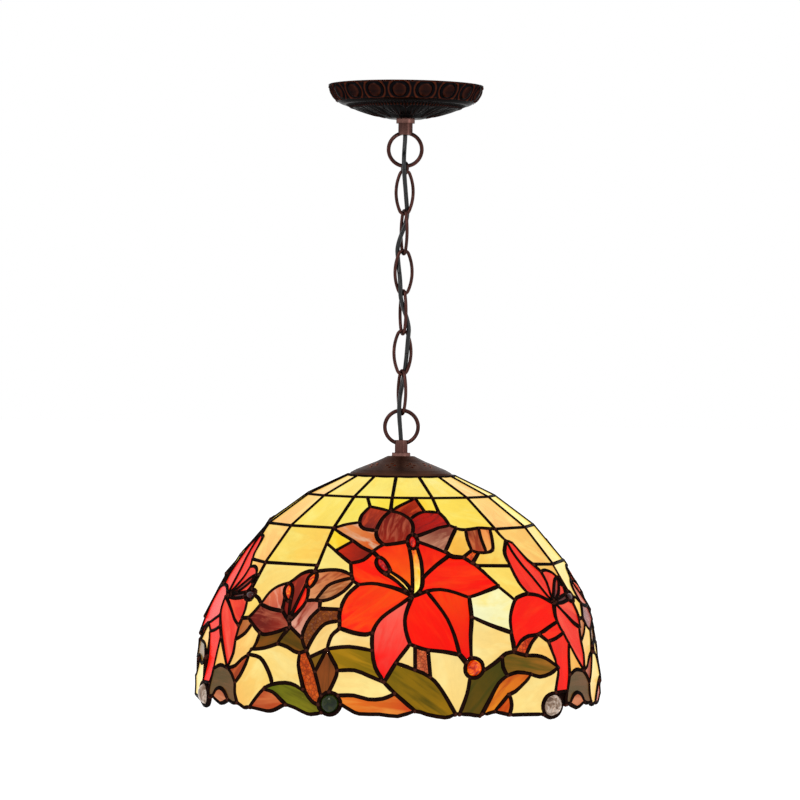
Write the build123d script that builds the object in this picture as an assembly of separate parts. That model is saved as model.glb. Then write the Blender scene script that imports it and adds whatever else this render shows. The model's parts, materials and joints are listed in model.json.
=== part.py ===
"""A stained glass pendant lamp: ceiling canopy, chain, woven cable and a leaded glass dome shade.

Millimetres, +Z up. The origin is on the ceiling plane, on the lamp's axis, and the lamp hangs below it.
The shade is drawn as a cartoon: lead lines given as (degrees round the shade, height above its rim),
for one third of the shade. The cells between the lines are the pieces of glass.
"""
from build123d import *
import math
import os

# ---- driving dimensions -------------------------------------------------------------------------
CANOPY_R = 77.5
CANOPY_DEPTH = 33.5
CANOPY_WALL = 1.2
THREAD_R = 5.0            # M10x1 lamp thread, used for both nipples
TAPPED_R = 5.05
NIPPLE_BORE_R = 3.1
COLLAR_R = 7.2
RING_WIRE = 3.9
RING_R = 16.6             # centreline radius of both hanging rings
CANOPY_RING_Z = -64.0     # centre of the ring under the canopy
LINK_WIRE = 3.3
LINK_LENGTH = 46.7        # outside
LINK_WIDTH = 20.5         # outside
LINK_END_R = 5.2          # centreline radius of a link's ends
LINK_TURNS = [8, 110, 8, 110, 8, 116]    # degrees about the chain, from the top down
JUMP_WIRE = 3.0           # the small ring between the canopy ring and the chain
JUMP_LENGTH = 14.2
JUMP_WIDTH = 13.4
JUMP_END_R = 5.0
JUMP_TURN = -60
PLAY = 0.08               # slack where two links bear on each other
CABLE_R = 2.2
CAP_TOP_Z = -370.5        # top of the pierced cap on the shade
CAP_R = 51.6
RIM_Z = -610.0            # level of the shade's rim
GLASS = 3.0
LEAD_HALF = 1.6           # half the width of a lead line
GLASS_GAP = 0.15          # between a piece of glass and the lead round it
LEAD_THICK = 5.0          # from the shade's surface inwards
LEAD_PROUD = 1.6          # from the shade's surface outwards
WINDOW_DEPTH = 15         # how deep each opening is cut through the lead
RIM_BAND = 21             # the rim lies below this height
RIM_CLEAR = -25           # the rim is trimmed down to here
RIM_SECTIONS = 12         # flat-sided sections that make up the rim
ROUND_FACETS = 48         # small flats that make up the round part
SECTION_LAP = 1.5         # degrees that the sections overlap by
BULB_R = 29.5             # of the bulb's round glass
JEWEL_DOME = 2.6          # how far a jewel stands out
REPEATS = 3
REPEAT_ANGLE = 120
MM_PER_DEGREE = 3         # along the shade's surface, roughly
BOW_LIMITS = [0.15, 0.6]  # a curve that bows more than these between two points gets more runs

# height above the rim, radius: the shade's profile at its corners
PROFILE = [(-9, 198), (0, 199), (24, 200), (52, 196), (79, 190), (93, 187), (107, 179.5),
           (136.5, 162), (171.5, 132), (200, 93), (219, 53)]
TOP_H = 219
COLUMNS = [-53, -29, -5, 19.5, 44, 67]
FACETED_ABOVE = 136.5     # flat panels above this height, and a round shade below ROUND_BELOW
ROUND_BELOW = 95

os.makedirs("parts", exist_ok=True)
nodes = {}


def ring_profile(points):
    """A closed polygon in the XZ plane, turned round the Z axis."""
    return revolve(make_face(Polyline(*[(x, 0, z) for x, z in points], close=True)), Axis.Z)


def disc(radius, low, high, bore=0.0, at=(0, 0)):
    body = Pos(at[0], at[1], low) * Cylinder(radius, high - low, align=(Align.CENTER, Align.CENTER, Align.MIN))
    if bore:
        body -= Pos(at[0], at[1], low - 1) * Cylinder(
            bore, high - low + 2, align=(Align.CENTER, Align.CENTER, Align.MIN))
    return body


def hex_nut(across, low, high, bore):
    nut = Pos(0, 0, low) * extrude(RegularPolygon(across / 2, 6, major_radius=False), high - low)
    return nut - disc(bore, low - 1, high + 1)


def wire_ring(radius, wire, centre):
    """A round ring standing in the XZ plane."""
    plane = Plane(origin=centre, x_dir=(1, 0, 0), z_dir=(0, -1, 0))
    return Solid.make_torus(radius, wire / 2, plane)


def oval_link(length, width, wire, end_r, top_z, turn):
    """A chain link of four tangent arcs, with its highest point at top_z, turned about Z."""
    half_l = (length - wire) / 2
    half_w = (width - wire) / 2
    side_r = (half_w**2 + (half_l - end_r)**2 - end_r**2) / (2 * (half_w - end_r))
    half_turn = math.degrees(math.asin((half_l - end_r) / (side_r - end_r)))
    arcs = [(side_r, half_w - side_r, 0, -half_turn, 2 * half_turn),
            (end_r, 0, half_l - end_r, half_turn, 180 - 2 * half_turn),
            (side_r, side_r - half_w, 0, 180 - half_turn, 2 * half_turn),
            (end_r, 0, end_r - half_l, 180 + half_turn, 180 - 2 * half_turn)]
    body = None
    for radius, x, z, start, sweep_angle in arcs:
        direction = (math.cos(math.radians(start)), 0, math.sin(math.radians(start)))
        plane = Plane(origin=(x, 0, z), x_dir=direction, z_dir=(0, -1, 0))
        piece = Solid.make_torus(radius, wire / 2, plane, 0, 360, sweep_angle)
        body = piece if body is None else body + piece
    return Pos(0, 0, top_z - length / 2) * Rot(0, 0, turn) * body


# ---- ceiling side -------------------------------------------------------------------------------
def ceiling_parts():
    bar = Pos(0, 0, -1) * Box(104, 22, 2)
    bar -= disc(TAPPED_R, -3, 1)
    for side in (-1, 1):
        slot = extrude(SlotCenterToCenter(12, 4.6), 4)
        bar -= Pos(side * 39.5, 0, -3) * slot
    bar -= disc(1.5, -3, 1, at=(24, 6))
    nodes["ceiling_crossbar"] = bar
    nodes["ground_screw"] = disc(3.6, -4.6, -2, at=(24, 6)) + disc(1.5, -2, 0, at=(24, 6))

    stud = disc(THREAD_R, -9, 0, NIPPLE_BORE_R)
    nodes["ceiling_nipple"] = stud
    nodes["ceiling_locknut"] = hex_nut(15, -5.2, -2, TAPPED_R)

    # an open frame threaded at both ends, which lets the wires out sideways
    frame = Pos(0, 0, -15.5) * Box(24, 12, 19)
    frame -= Pos(0, 0, -15.5) * Box(17, 14, 10.5)
    frame -= disc(TAPPED_R, -30, 0)
    nodes["hickey"] = fillet(frame.edges().filter_by(Axis.Y).group_by(Axis.Z)[0], 3)

    lower = disc(THREAD_R, -46, -20.5, NIPPLE_BORE_R)
    nodes["canopy_nipple"] = lower
    nodes["canopy_locknut"] = hex_nut(15, -32.2, -29, TAPPED_R)

    outer = [(CANOPY_R, 0), (CANOPY_R, -1.6), (75.6, -4.5), (72.5, -9.5), (69.6, -15), (68.6, -17),
             (65.2, -20), (57, -20.6), (54, -23), (40, -27), (27, -30), (20, -32.3), (17.5, -CANOPY_DEPTH),
             (THREAD_R + 0.15, -CANOPY_DEPTH)]
    inner = [(THREAD_R + 0.15, CANOPY_WALL - CANOPY_DEPTH), (16.9, CANOPY_WALL - CANOPY_DEPTH), (19.4, -31),
             (26.7, -28.7), (39.7, -25.7), (53.4, -21.8), (56.6, -19.3), (64.6, -18.7), (67.6, -16.2),
             (71.3, -9), (74.4, -4), (76.2, -1.4), (76.2, 0)]
    nodes["canopy"] = ring_profile(outer + inner)

    # the loop: a flange, a collar and a hanging ring cast in one, bored for the cable
    loop = disc(9.3, -38, -CANOPY_DEPTH) + disc(COLLAR_R, -49.5, -37)
    loop += wire_ring(RING_R, RING_WIRE, (0, 0, CANOPY_RING_Z))
    loop -= disc(TAPPED_R, -46, -33)
    loop -= disc(NIPPLE_BORE_R, -56, -40)
    nodes["canopy_loop"] = loop

    nuts = []
    for side in (-1, 1):
        cone = Cone(5.2, 3.2, 16, align=(Align.CENTER, Align.CENTER, Align.MIN))
        nuts.append(Pos(6 * side, -21, -13.3) * Rot(90, 0, 12 * side) * cone)
    nodes["wire_connectors"] = Compound(children=nuts)


# ---- chain --------------------------------------------------------------------------------------
def chain_tops():
    """The highest point of the jump ring and of each link."""
    ring_bearing = CANOPY_RING_Z - RING_R + RING_WIRE / 2
    jump_top = ring_bearing + PLAY + JUMP_WIRE
    bearing = jump_top - JUMP_LENGTH + JUMP_WIRE
    tops = []
    for _ in LINK_TURNS:
        top = bearing + PLAY + LINK_WIRE
        tops.append(top)
        bearing = top - LINK_LENGTH + LINK_WIRE
    return jump_top, tops, bearing


JUMP_TOP, LINK_TOPS, LAST_BEARING = chain_tops()
SHADE_RING_Z = LAST_BEARING + PLAY + RING_WIRE - RING_R - RING_WIRE / 2


def chain_parts():
    nodes["jump_ring"] = oval_link(
        JUMP_LENGTH, JUMP_WIDTH, JUMP_WIRE, JUMP_END_R, JUMP_TOP, JUMP_TURN)
    for number, (top, turn) in enumerate(zip(LINK_TOPS, LINK_TURNS), 1):
        nodes[f"chain_link_{number}"] = oval_link(
            LINK_LENGTH, LINK_WIDTH, LINK_WIRE, LINK_END_R, top, turn)


# ---- cable --------------------------------------------------------------------------------------
# The cable starts in the hickey's window, drops through both rings and weaves through the chain.
CABLE_ROUTE = [(0, 0, -17), (0, 0, -50), (-0.8, -1.9, -64), (-1.2, -6.4, -73.5), (-0.8, -8.1, -87.5),
               (2.4, 3.8, -119.8), (3.2, 5.2, -133.8), (-6.9, 3, -159.8), (-5.8, 4.2, -173.8),
               (-2.6, -3.9, -199.8), (-3, -5.1, -213.8), (6.6, -3.2, -239.8), (5.3, -4, -253.8),
               (3.4, 5.8, -279.9), (1.1, 3.5, -293.9), (-3.5, -6.3, -319.9), (0, 0, -356),
               (0.2, 0.1, -374), (0, 0, -418)]
ARC_SHARE = 0.45
LEAD_WIRE_R = 0.9
LEAD_WIRE_BEND = 3


def cable_radii(points):
    """The radius at each corner: as large as the two runs beside it allow."""
    radii = []
    for before, corner, after in zip(points, points[1:], points[2:]):
        first = Vector(*corner) - Vector(*before)
        second = Vector(*after) - Vector(*corner)
        half = math.radians(first.get_angle(second)) / 2
        radii.append(ARC_SHARE * min(first.length, second.length) / math.tan(half))
    return radii


def cable_part():
    radii = cable_radii(CABLE_ROUTE)
    path = FilletPolyline(*CABLE_ROUTE, radius=radii)
    start = Vector(*CABLE_ROUTE[1]) - Vector(*CABLE_ROUTE[0])
    section = Plane(origin=CABLE_ROUTE[0], z_dir=start) * Circle(CABLE_R)
    cable = sweep(section, path=path)
    nodes["pendant_cable"] = cable
    print("cable length", round(path.length, 1), "volume ratio",
          round(cable.volume / (math.pi * CABLE_R**2 * path.length), 4), "radii", [round(r) for r in radii])
    wires = []
    for side in (-1, 1):
        route = [(1.15 * side, 0, -17), (1.15 * side, 0, -13.3), (3 * side, -12, -13.3), (5.7 * side, -20.8, -13.3)]
        wire_path = FilletPolyline(*route, radius=LEAD_WIRE_BEND)
        wires.append(sweep(Plane(origin=route[0]) * Circle(LEAD_WIRE_R), path=wire_path))
    nodes["lead_wires"] = Compound(children=wires)


# ---- shade hardware -----------------------------------------------------------------------------
def shade_hardware():
    top = CAP_TOP_Z
    loop = disc(9.3, top, top + 3.4) + disc(COLLAR_R - 0.8, top + 3, top + 16)
    loop += wire_ring(RING_R, RING_WIRE, (0, 0, SHADE_RING_Z))
    loop -= disc(TAPPED_R, top - 1, top + 11)
    loop -= disc(NIPPLE_BORE_R, top, top + 22)
    nodes["shade_loop"] = loop

    outer = [(THREAD_R + 0.15, top), (13.5, top), (15, top - 0.8), (24.5, top - 5.4), (33, top - 8.8),
             (44.5, top - 13.4), (50, top - 16.4), (CAP_R, top - 18.4), (50.6, top - 20.2)]
    inner = [(49.4, top - 20.2), (50.2, top - 18.4), (48.9, top - 17.2), (43.8, top - 14.6), (32.4, top - 10),
             (23.9, top - 6.6), (14.4, top - 2), (13, top - 1.2), (THREAD_R + 0.15, top - 1.2)]
    cap = ring_profile(outer + inner)
    drills = []
    for cluster in range(10):
        for radius, turn in ((27.5, 0), (37, 0), (32.2, 6.5), (32.2, -6.5)):
            angle = 36 * cluster + turn
            drill = Cylinder(1.5, 12)
            drills.append(Rot(0, 0, angle) * Pos(radius, 0, top - 8.5) * Rot(0, 22, 0) * drill)
    nodes["vase_cap"] = cap - drills

    nodes["shade_nipple"] = disc(THREAD_R, top - 42, top + 10.8, NIPPLE_BORE_R)
    nodes["cap_washer"] = disc(12, top - 3.2, top - 1.3, TAPPED_R)
    nodes["cap_nut"] = hex_nut(15, top - 6.6, top - 3.2, TAPPED_R)

    # the spider under the shade's top edge carries the glass: a hub, three arms and a ring
    spider_z = top - 21.2
    spider = disc(11, spider_z - 2.5, spider_z, TAPPED_R)
    spider += disc(47.8, spider_z - 2.5, spider_z, 43)
    for arm in range(3):
        bar = Pos(27, 0, spider_z - 1.25) * Box(36, 6, 2.5)
        spider += Rot(0, 0, 120 * arm + 30) * bar
    nodes["shade_spider"] = spider
    nodes["spider_nut"] = hex_nut(15, spider_z - 6, spider_z - 2.5, TAPPED_R)

    # lampholder
    holder = top - 36
    nodes["socket_cap"] = ring_profile([
        (TAPPED_R, holder), (9, holder), (14, holder - 3), (18, holder - 10), (19.4, holder - 18),
        (18.4, holder - 18), (17, holder - 10.4), (13.2, holder - 4), (8.6, holder - 1.2), (TAPPED_R, holder - 1.2)])
    nodes["socket_shell"] = ring_profile([
        (19.4, holder - 18), (19.4, holder - 54), (20.4, holder - 55), (20.4, holder - 57),
        (18.4, holder - 57), (18.4, holder - 18)])
    nodes["socket_sleeve"] = disc(18.3, holder - 56, holder - 20, 16.9)
    body = disc(16.6, holder - 26, holder - 17)
    body -= disc(2.2, holder - 27, holder - 16, at=(0, 10))
    body -= disc(2.2, holder - 27, holder - 16, at=(0, -10))
    nodes["socket_insulator"] = body
    nodes["terminal_screws"] = Compound(children=[
        disc(2.9, holder - 17, holder - 14.5, at=(10.5 * side, 0)) for side in (-1, 1)])
    nodes["screw_shell"] = disc(14.6, holder - 54, holder - 26, 13.9)
    nodes["centre_contact"] = disc(4, holder - 28, holder - 26)

    base = holder - 28.2
    nodes["bulb_contact"] = disc(4.6, base - 3, base)
    nodes["bulb_insulator"] = ring_profile([(0, base - 3), (4.8, base - 3), (9.5, base - 6), (0, base - 6)])
    nodes["bulb_base"] = disc(13.2, base - 27, base - 6, 12.4) + disc(13.2, base - 8, base - 6)
    # the globe: an open neck inside the base that swells to a ball
    neck = base - 29
    ball_z = neck - 44
    side = [(11.9, base - 12), (11.9, neck), (15.5, neck - 13), (24.5, neck - 26)]
    skin = Polyline(*side[:2]) + Spline(*side[1:], (BULB_R, ball_z), tangents=[(0, -1), (0, -1)])
    skin += RadiusArc((BULB_R, ball_z), (0, ball_z - BULB_R), BULB_R)
    skin += Line((0, ball_z - BULB_R), (0, base - 12)) + Line((0, base - 12), side[0])
    nodes["bulb_globe"] = revolve(Plane.XZ * make_face(skin), Axis.Z)


# ---- shade: the cartoon -------------------------------------------------------------------------
def straight(*points):
    return list(points), False


def curve(*points):
    return list(points), True


C0, C1, C2, C3, C4, C5 = COLUMNS
LILY = (4, 110)           # where the front lily's petals meet
SIDE_LILY = (54, 101)     # where the side lily's petals meet
BUD_MEET = (-33.2, 84)    # where the small flower's stamens meet

LEAD_LINES = [
    # rows and columns of the plain grid
    straight((C0, TOP_H), (C1, TOP_H), (C2, TOP_H), (C3, TOP_H), (C4, TOP_H), (C5, TOP_H)),
    straight((C0, 200), (C1, 200), (-20.5, 200), (C2, 200), (9, 200), (C3, 200), (C4, 200), (C5, 200)),
    straight((C0, TOP_H), (C0, 200), (C0, 171.5), (C0, 136.5), (C0, 124), (C0, 111)),
    straight((65, 124.5), (C5, 124)),
    straight((C1, TOP_H), (C1, 200), (C1, 171.5), (C1, 157), (C1, 136.5), (C1, 131)),
    straight((C2, TOP_H), (C2, 200), (C2, 188)),
    straight((C3, TOP_H), (C3, 200), (C3, 187)),
    straight((C4, TOP_H), (C4, 200), (C4, 171.5)),
    straight((C0, 171.5), (C1, 171.5)),
    straight((C4, 171.5), (C5, 171.5)),
    straight((C0, 136.5), (C1, 136.5)),
    straight((28, 138), (41.7, 137.5)),
    straight((55, 137.5), (C5, 136.5)),
    # the brown flower above the lily
    straight((-20.5, 200), (-16.5, 191.5)),
    curve((-16.5, 191.5), (-10.5, 189.8), (C2, 188)),
    curve((-16.5, 191.5), (-19, 184), (-18.5, 176.5), (-15.5, 171.5), (-10, 170)),
    curve((C2, 188), (-8.4, 181), (-10, 170), (-8.8, 162), (-6.3, 157.5)),
    curve((C2, 188), (0, 185.8), (4.5, 180.5), (5.7, 174), (5, 167)),
    curve((C2, 188), (0, 193), (9, 200)),
    straight((9, 200), (12.5, 187.5)),
    curve((4.5, 180.5), (8, 184.8), (12.5, 187.5), (C3, 187)),
    curve((C3, 187), (21.3, 182), (22, 175)),
    curve((6.6, 164.5), (12, 169.5), (17, 173.8), (22, 175)),
    curve((22, 175), (24.5, 172.5), (29, 171), (36, 172.5), (41.5, 171.8), (C4, 171.5)),
    curve((24.5, 172.5), (20.5, 163), (16.8, 151)),
    curve((7.1, 160), (12, 156), (16.8, 151), (18.3, 148.5)),
    curve((C1, 171.5), (-24, 174.8), (-18.5, 176.5)),
    curve((C1, 171.5), (-24, 165.5), (-18.8, 160), (-14.5, 154.3), (-10, 150)),
    straight((-18.8, 160), (-24.5, 150.5)),
    straight((C1, 157), (-24.5, 150.5)),
    curve((-24.5, 150.5), (-20, 143.5), (-17.3, 139.5)),
    # the bud
    curve((29, 171), (28, 162), (28, 152)),
    curve((36, 172.5), (34.8, 163), (34.3, 150)),
    curve((28, 152), (30.8, 149.8), (34.3, 150), (37.5, 152), (39.5, 160), (41.5, 171.8)),
    straight((30.8, 149.8), (26.5, 141)),
    straight((28, 152), (23.7, 146.5)),
    # the front lily
    curve((-10, 150), (-8.3, 154), (-6.3, 157.5)),
    curve((-6.3, 157.5), (-1.5, 158.6), (2.9, 160)),
    curve((-10, 150), (-13, 142.8), (-17.3, 139.5)),
    curve((-17.3, 139.5), (-16.2, 129), (-15.6, 126), (-15, 123), (-13, 120.5)),
    straight((-10, 150), (-7.6, 145.8)),
    curve((-3.2, 133.5), (0.5, 126.5), (3, 119), LILY),
    curve((-4.8, 131.8), (-0.5, 123), LILY),
    curve((3.5, 155.5), (4.2, 142), (4.3, 126), LILY),
    curve((6.5, 155.5), (7.7, 142), (7.5, 126), (6.6, 116), LILY),
    curve((18.3, 148.5), (13, 139.5), (9, 130.5), (7.5, 126)),
    curve((18.3, 148.5), (20.5, 147.3), (23.7, 146.5)),
    curve((23.7, 146.5), (26.5, 141), (28, 138), (31, 128), (33.5, 118.5)),
    curve((33.5, 118.5), (28, 114.5), (22, 110)),
    curve((22, 110), (18, 114.5), (13, 117), (8.5, 114.7), LILY),
    curve((-13, 120.5), (-9, 122.2), (-5, 121), (0, 116), LILY),
    curve((-13, 120.5), (-16.3, 110.5), (-17.6, 97.5), (-17.3, 87), (-17, 80)),
    curve((-17, 80), (-13, 76.3), (-9.5, 74.8), (-7.5, 76.5)),
    curve((-7.5, 76.5), (-6.3, 86), (-3.5, 95.5), LILY),
    curve((-7.5, 76.5), (-7.3, 60.5), (-6.3, 45), (-3.8, 31.5)),
    curve((-3.8, 31.5), (-0.7, 49.5), (3.2, 67)),
    curve((3.2, 67), (2, 80), (1.9, 94), LILY),
    curve((3.2, 67), (4.6, 65), (8.2, 61.5), (13, 59.8), (17, 57)),
    curve((8.5, 114.7), (11.8, 103), (14.3, 91), (16, 75), (17, 57)),
    curve((22, 110), (21.7, 92), (20.8, 75), (20.3, 53.4)),
    straight((17, 57), (18.9, 48.7)),
    # round the front lily
    curve((33.5, 118.5), (36, 112), (38, 106)),
    curve((21.7, 92), (27, 84.5), (33.8, 76)),
    straight((4.6, 65), (4.6, 43.3)),
    straight((8.2, 61.5), (8.8, 36.5)),
    curve((-0.7, 49.5), (4.6, 43.3), (8.8, 36.5), (12, 24), (15.8, 1.5)),
    curve((-3.8, 31.5), (-0.8, 21), (2, 12.8), (4.8, 4.5)),
    curve((-0.8, 21), (-4, 16), (-8, 15), (-12, 18.3), (-16.6, 17.8)),
    curve((-16.8, 41), (-12, 41.8), (-8, 37), (-3.8, 31.5)),
    curve((-20.3, 60.5), (-14, 63.5), (-7.3, 60.5)),
    curve((-17, 80), (-19.3, 73), (-20.3, 60.5)),
    curve((-20.3, 60.5), (-18.3, 50), (-16.8, 41), (-17.6, 31), (-19, 20.5)),
    curve((-20.3, 60.5), (-21.8, 50), (-23.4, 38.5)),
    straight((-20.3, 60.5), (-25.4, 52)),
    curve((20, 36), (19, 20), (16.8, 1.5)),
    # stems and leaves on the left
    curve((-17.3, 87), (-21.5, 84), (-24.2, 74), (-26.5, 58)),
    curve((-24, 97.5), (-26.6, 89), (-27.9, 79), (-28.3, 69), (-26.5, 58)),
    straight((-17.6, 97.5), (-24, 97.5)),
    curve((-15, 123), (-17.5, 114), (-21, 107), (-24.3, 104)),
    straight((-24.3, 104), (-24, 97.5)),
    curve((-26.5, 58), (-25.4, 52), (-23.4, 38.5), (-21.2, 16)),
    straight((-26.5, 58), (-28.5, 55.5)),
    curve((-28.5, 55.5), (-28.6, 44), (-27.3, 31), (-26, 19.5), (-24, 11.5), (-21.9, 8)),
    curve((-26, 19.5), (-29, 25), (-32.5, 27), (-36.8, 24.5), (-39.8, 19.5), (-42.5, 11), (-45.2, 0.5)),
    curve((-39.8, 19.5), (-36.5, 17.5), (-34, 11.5), (-32, 6)),
    curve((-46.5, 50.5), (-42, 48.5), (-39, 39), (-37.3, 30), (-36.8, 24.5)),
    # the small flower on the left
    curve((C1, 131), (-24, 133), (-20, 132.5), (-16.2, 129)),
    curve((-15.6, 126), (-20, 123), (-23.5, 118), (-26, 105)),
    curve((-24.3, 104), (-26, 105), (-29, 104)),
    curve((-29.6, 115.5), (-29, 104), (-30.8, 94.5), BUD_MEET),
    curve((-31, 119.5), (-31.6, 111), (-32.4, 98), BUD_MEET),
    curve((C1, 131), (-31.5, 130.7), (-34.5, 127.5), (-36.5, 122.5), (-38.2, 119)),
    curve((-38.2, 119), (-42, 115.7), (-44.6, 109), (-45.8, 98)),
    curve((-35, 108), (-34.3, 97), BUD_MEET),
    curve((-37.5, 106.5), (-36.8, 99), (-36.4, 93.5), BUD_MEET),
    curve((-36.4, 93.5), (-41, 94.8), (-45.8, 98)),
    curve((-45.8, 98), (-47.5, 91.5), (-49.5, 84.5)),
    curve((-49.5, 84.5), (-47.5, 79.5), (-43.6, 71.5), (-41, 70.8), (-37, 74), (-32.7, 79)),
    straight(BUD_MEET, (-32.7, 79)),
    straight((-32.7, 79), (-28.3, 69)),
    curve((-32.7, 79), (-35, 70.5), (-36.3, 63)),
    curve((-45.5, 55.5), (-41, 57.8), (-36.3, 63)),
    curve((-36.3, 63), (-33, 60.5), (-30.5, 56.8), (-28.5, 55.5)),
    curve((-43.6, 71.5), (-44.3, 62), (-45.5, 55.5), (-46.5, 50.5)),
    curve((-46.5, 50.5), (-49.5, 45.5), (-52, 38.5), (-55.5, 35)),
    curve((-46.5, 50.5), (-47.5, 41.5), (-49.5, 30), (-51.5, 22.5)),
    curve((-51.5, 22.5), (-51.3, 12), (-50, 3)),
    curve((-51.5, 22.5), (-53.3, 30), (-55.5, 35)),
    curve((-47.5, 79.5), (-50, 70), (-54, 62.5)),
    straight((-49.5, 84.5), (-52.5, 83.5)),
    curve((-45.8, 98), (-48, 103), (-50.4, 105.5)),
    # the side lily
    curve(SIDE_LILY, (55.5, 110), (57, 120), (57.2, 130.5)),
    curve((57.2, 130.5), (60.3, 131.5), (63.5, 128.8), (65, 124.5)),
    curve(SIDE_LILY, (58.3, 112), (62, 120.5), (65, 124.5)),
    curve(SIDE_LILY, (60, 108.5), (64, 118), (65, 124.5)),
    curve((64, 118), (65.9, 115), (64.6, 108)),
    curve(SIDE_LILY, (59.5, 105.3), (64.6, 108)),
    curve(SIDE_LILY, (59.5, 100.8), (64.8, 103)),
    curve(SIDE_LILY, (57, 96), (60, 89.5), (63, 82), (66.5, 76)),
    curve((67, 100.5), (67.7, 92), (67.5, 83.5), (66.5, 76)),
    curve((66.5, 76), (66, 62.5), (66.2, 50), (64.5, 35)),
    curve(SIDE_LILY, (53.3, 92), (53.6, 84), (55.6, 73), (57.7, 63), (61, 49), (64.5, 35)),
    curve((53.6, 84), (49, 79), (44.3, 73.5), (40.5, 72.7), (37, 68), (34, 58.5)),
    straight((44.3, 73.5), (47.8, 66.3)),
    curve((47.8, 66.3), (51.5, 68.5), (55.6, 73)),
    curve((47.8, 66.3), (49, 56), (50.2, 41.5), (49.5, 28), (48.8, 17.3)),
    curve((44.3, 73.5), (41, 66), (38.3, 54.8)),
    curve((34, 58.5), (34, 66), (33.8, 76), (34.8, 92), (38, 106), (41, 109.8), (44, 111.5)),
    curve((44, 111.5), (49, 109), SIDE_LILY),
    curve((44, 111.5), (42.3, 122), (41.7, 137.5), (41.9, 148), (43.5, 154), (46, 160)),
    curve((C4, 171.5), (44.8, 166), (46, 160)),
    curve((46, 160), (49.5, 157.5), (51.5, 149), (53, 142), (55, 137.5), (57.2, 130.5)),
    curve((46, 160), (46.4, 150), (48, 139), (50.5, 126), SIDE_LILY),
    curve((34, 58.5), (38.3, 54.8), (42.5, 53.8), (46, 50.5), (50.2, 41.5)),
    curve((34, 58.5), (31.5, 57.3), (29.9, 54), (27, 47.5), (24, 42)),
    curve((29.9, 54), (30, 44.5), (31.3, 36.5)),
    curve((31.3, 36.5), (35, 39.3), (39.5, 37), (43, 33.7), (47, 36), (50.2, 41.5)),
    curve((31.3, 36.5), (28.5, 29.5), (26, 16), (23, -0.5)),
    curve((39.5, 37), (37.5, 30), (34, 21.5), (31.8, 18.5), (29.5, 11), (27.2, 3)),
    curve((31.8, 18.5), (32.6, 9), (32, -0.5)),
    straight((48.8, 17.3), (54.3, 17.5)),
    curve((57.7, 63), (56.8, 50), (56, 32.5), (54.3, 17.5)),
    curve((54.3, 17.5), (53.7, 10), (54, 4.5)),
    curve((56, 32.5), (60, 37), (64.5, 35)),
    curve((56, 5.5), (58, 12.7), (60.5, 15), (63, 12), (65, 5)),
    # the scalloped rim
    curve((-55, 5), (-52.5, 2.5), (-50, 3), (-47.5, -0.5), (-45.2, 0.5), (-39, -1.5), (-36, 0.5), (-32, 6),
          (-27, 0.5), (-24.5, -1.5), (-20.8, 1)),
    curve((-15.6, 10), (-13.5, 5.5), (-10.5, 1), (-5, 1), (0, -0.5), (4.8, 4.5), (8, 1.5), (13, -1.5),
          (15.8, 1.5), (16.8, 1.5), (20, 1), (23, -0.5), (27.2, 3), (32, -0.5), (37, -1.2), (45, -2.5)),
    curve((52.3, 5), (54, 4.5), (56, 5.5), (60.5, 0), (65, 5)),
    # the leads round the jewels
    curve((5, 167), (3.4, 164.5), (2.9, 160), (3.5, 155.5), (5, 153.5), (6.5, 155.5), (7.1, 160), (6.6, 164.5),
          (5, 167)),
    curve((-7.6, 145.8), (-5.3, 143.8), (-3.8, 138.5), (-3.2, 133.5), (-4.8, 131.8), (-7, 136), (-8.3, 141.5),
          (-7.6, 145.8)),
    curve((20.3, 53.4), (18.9, 48.7), (18.7, 41), (20, 36), (22.2, 36), (24, 42), (23.6, 50), (22, 53.6),
          (20.3, 53.4)),
    curve((-19, 20.5), (-16.6, 17.8), (-15.6, 10), (-16.8, 2), (-18.8, -1), (-20.8, 1), (-21.9, 8), (-21.2, 16),
          (-19, 20.5)),
    curve((C1, 131), (-27.9, 126), (-28.3, 119.5), (-29.6, 115.5), (-31, 119.5), (-31, 125.5), (C1, 131)),
    curve((-38.2, 119), (-36, 115.5), (-35, 108), (-35.6, 102.8), (-37.5, 106.5), (-38.9, 113), (-38.2, 119)),
    curve((C0, 111), (-50.8, 109), (-50.4, 105.5), (-51.2, 101.5), (C0, 100.5), (-55.2, 103), (-55.4, 108),
          (C0, 111)),
    curve((48.8, 17.3), (45.5, 14.5), (44, 6), (45, -2.5), (48, -6.5), (51, -3.5), (52.3, 5), (51.3, 13.5),
          (48.8, 17.3)),
]

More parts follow.
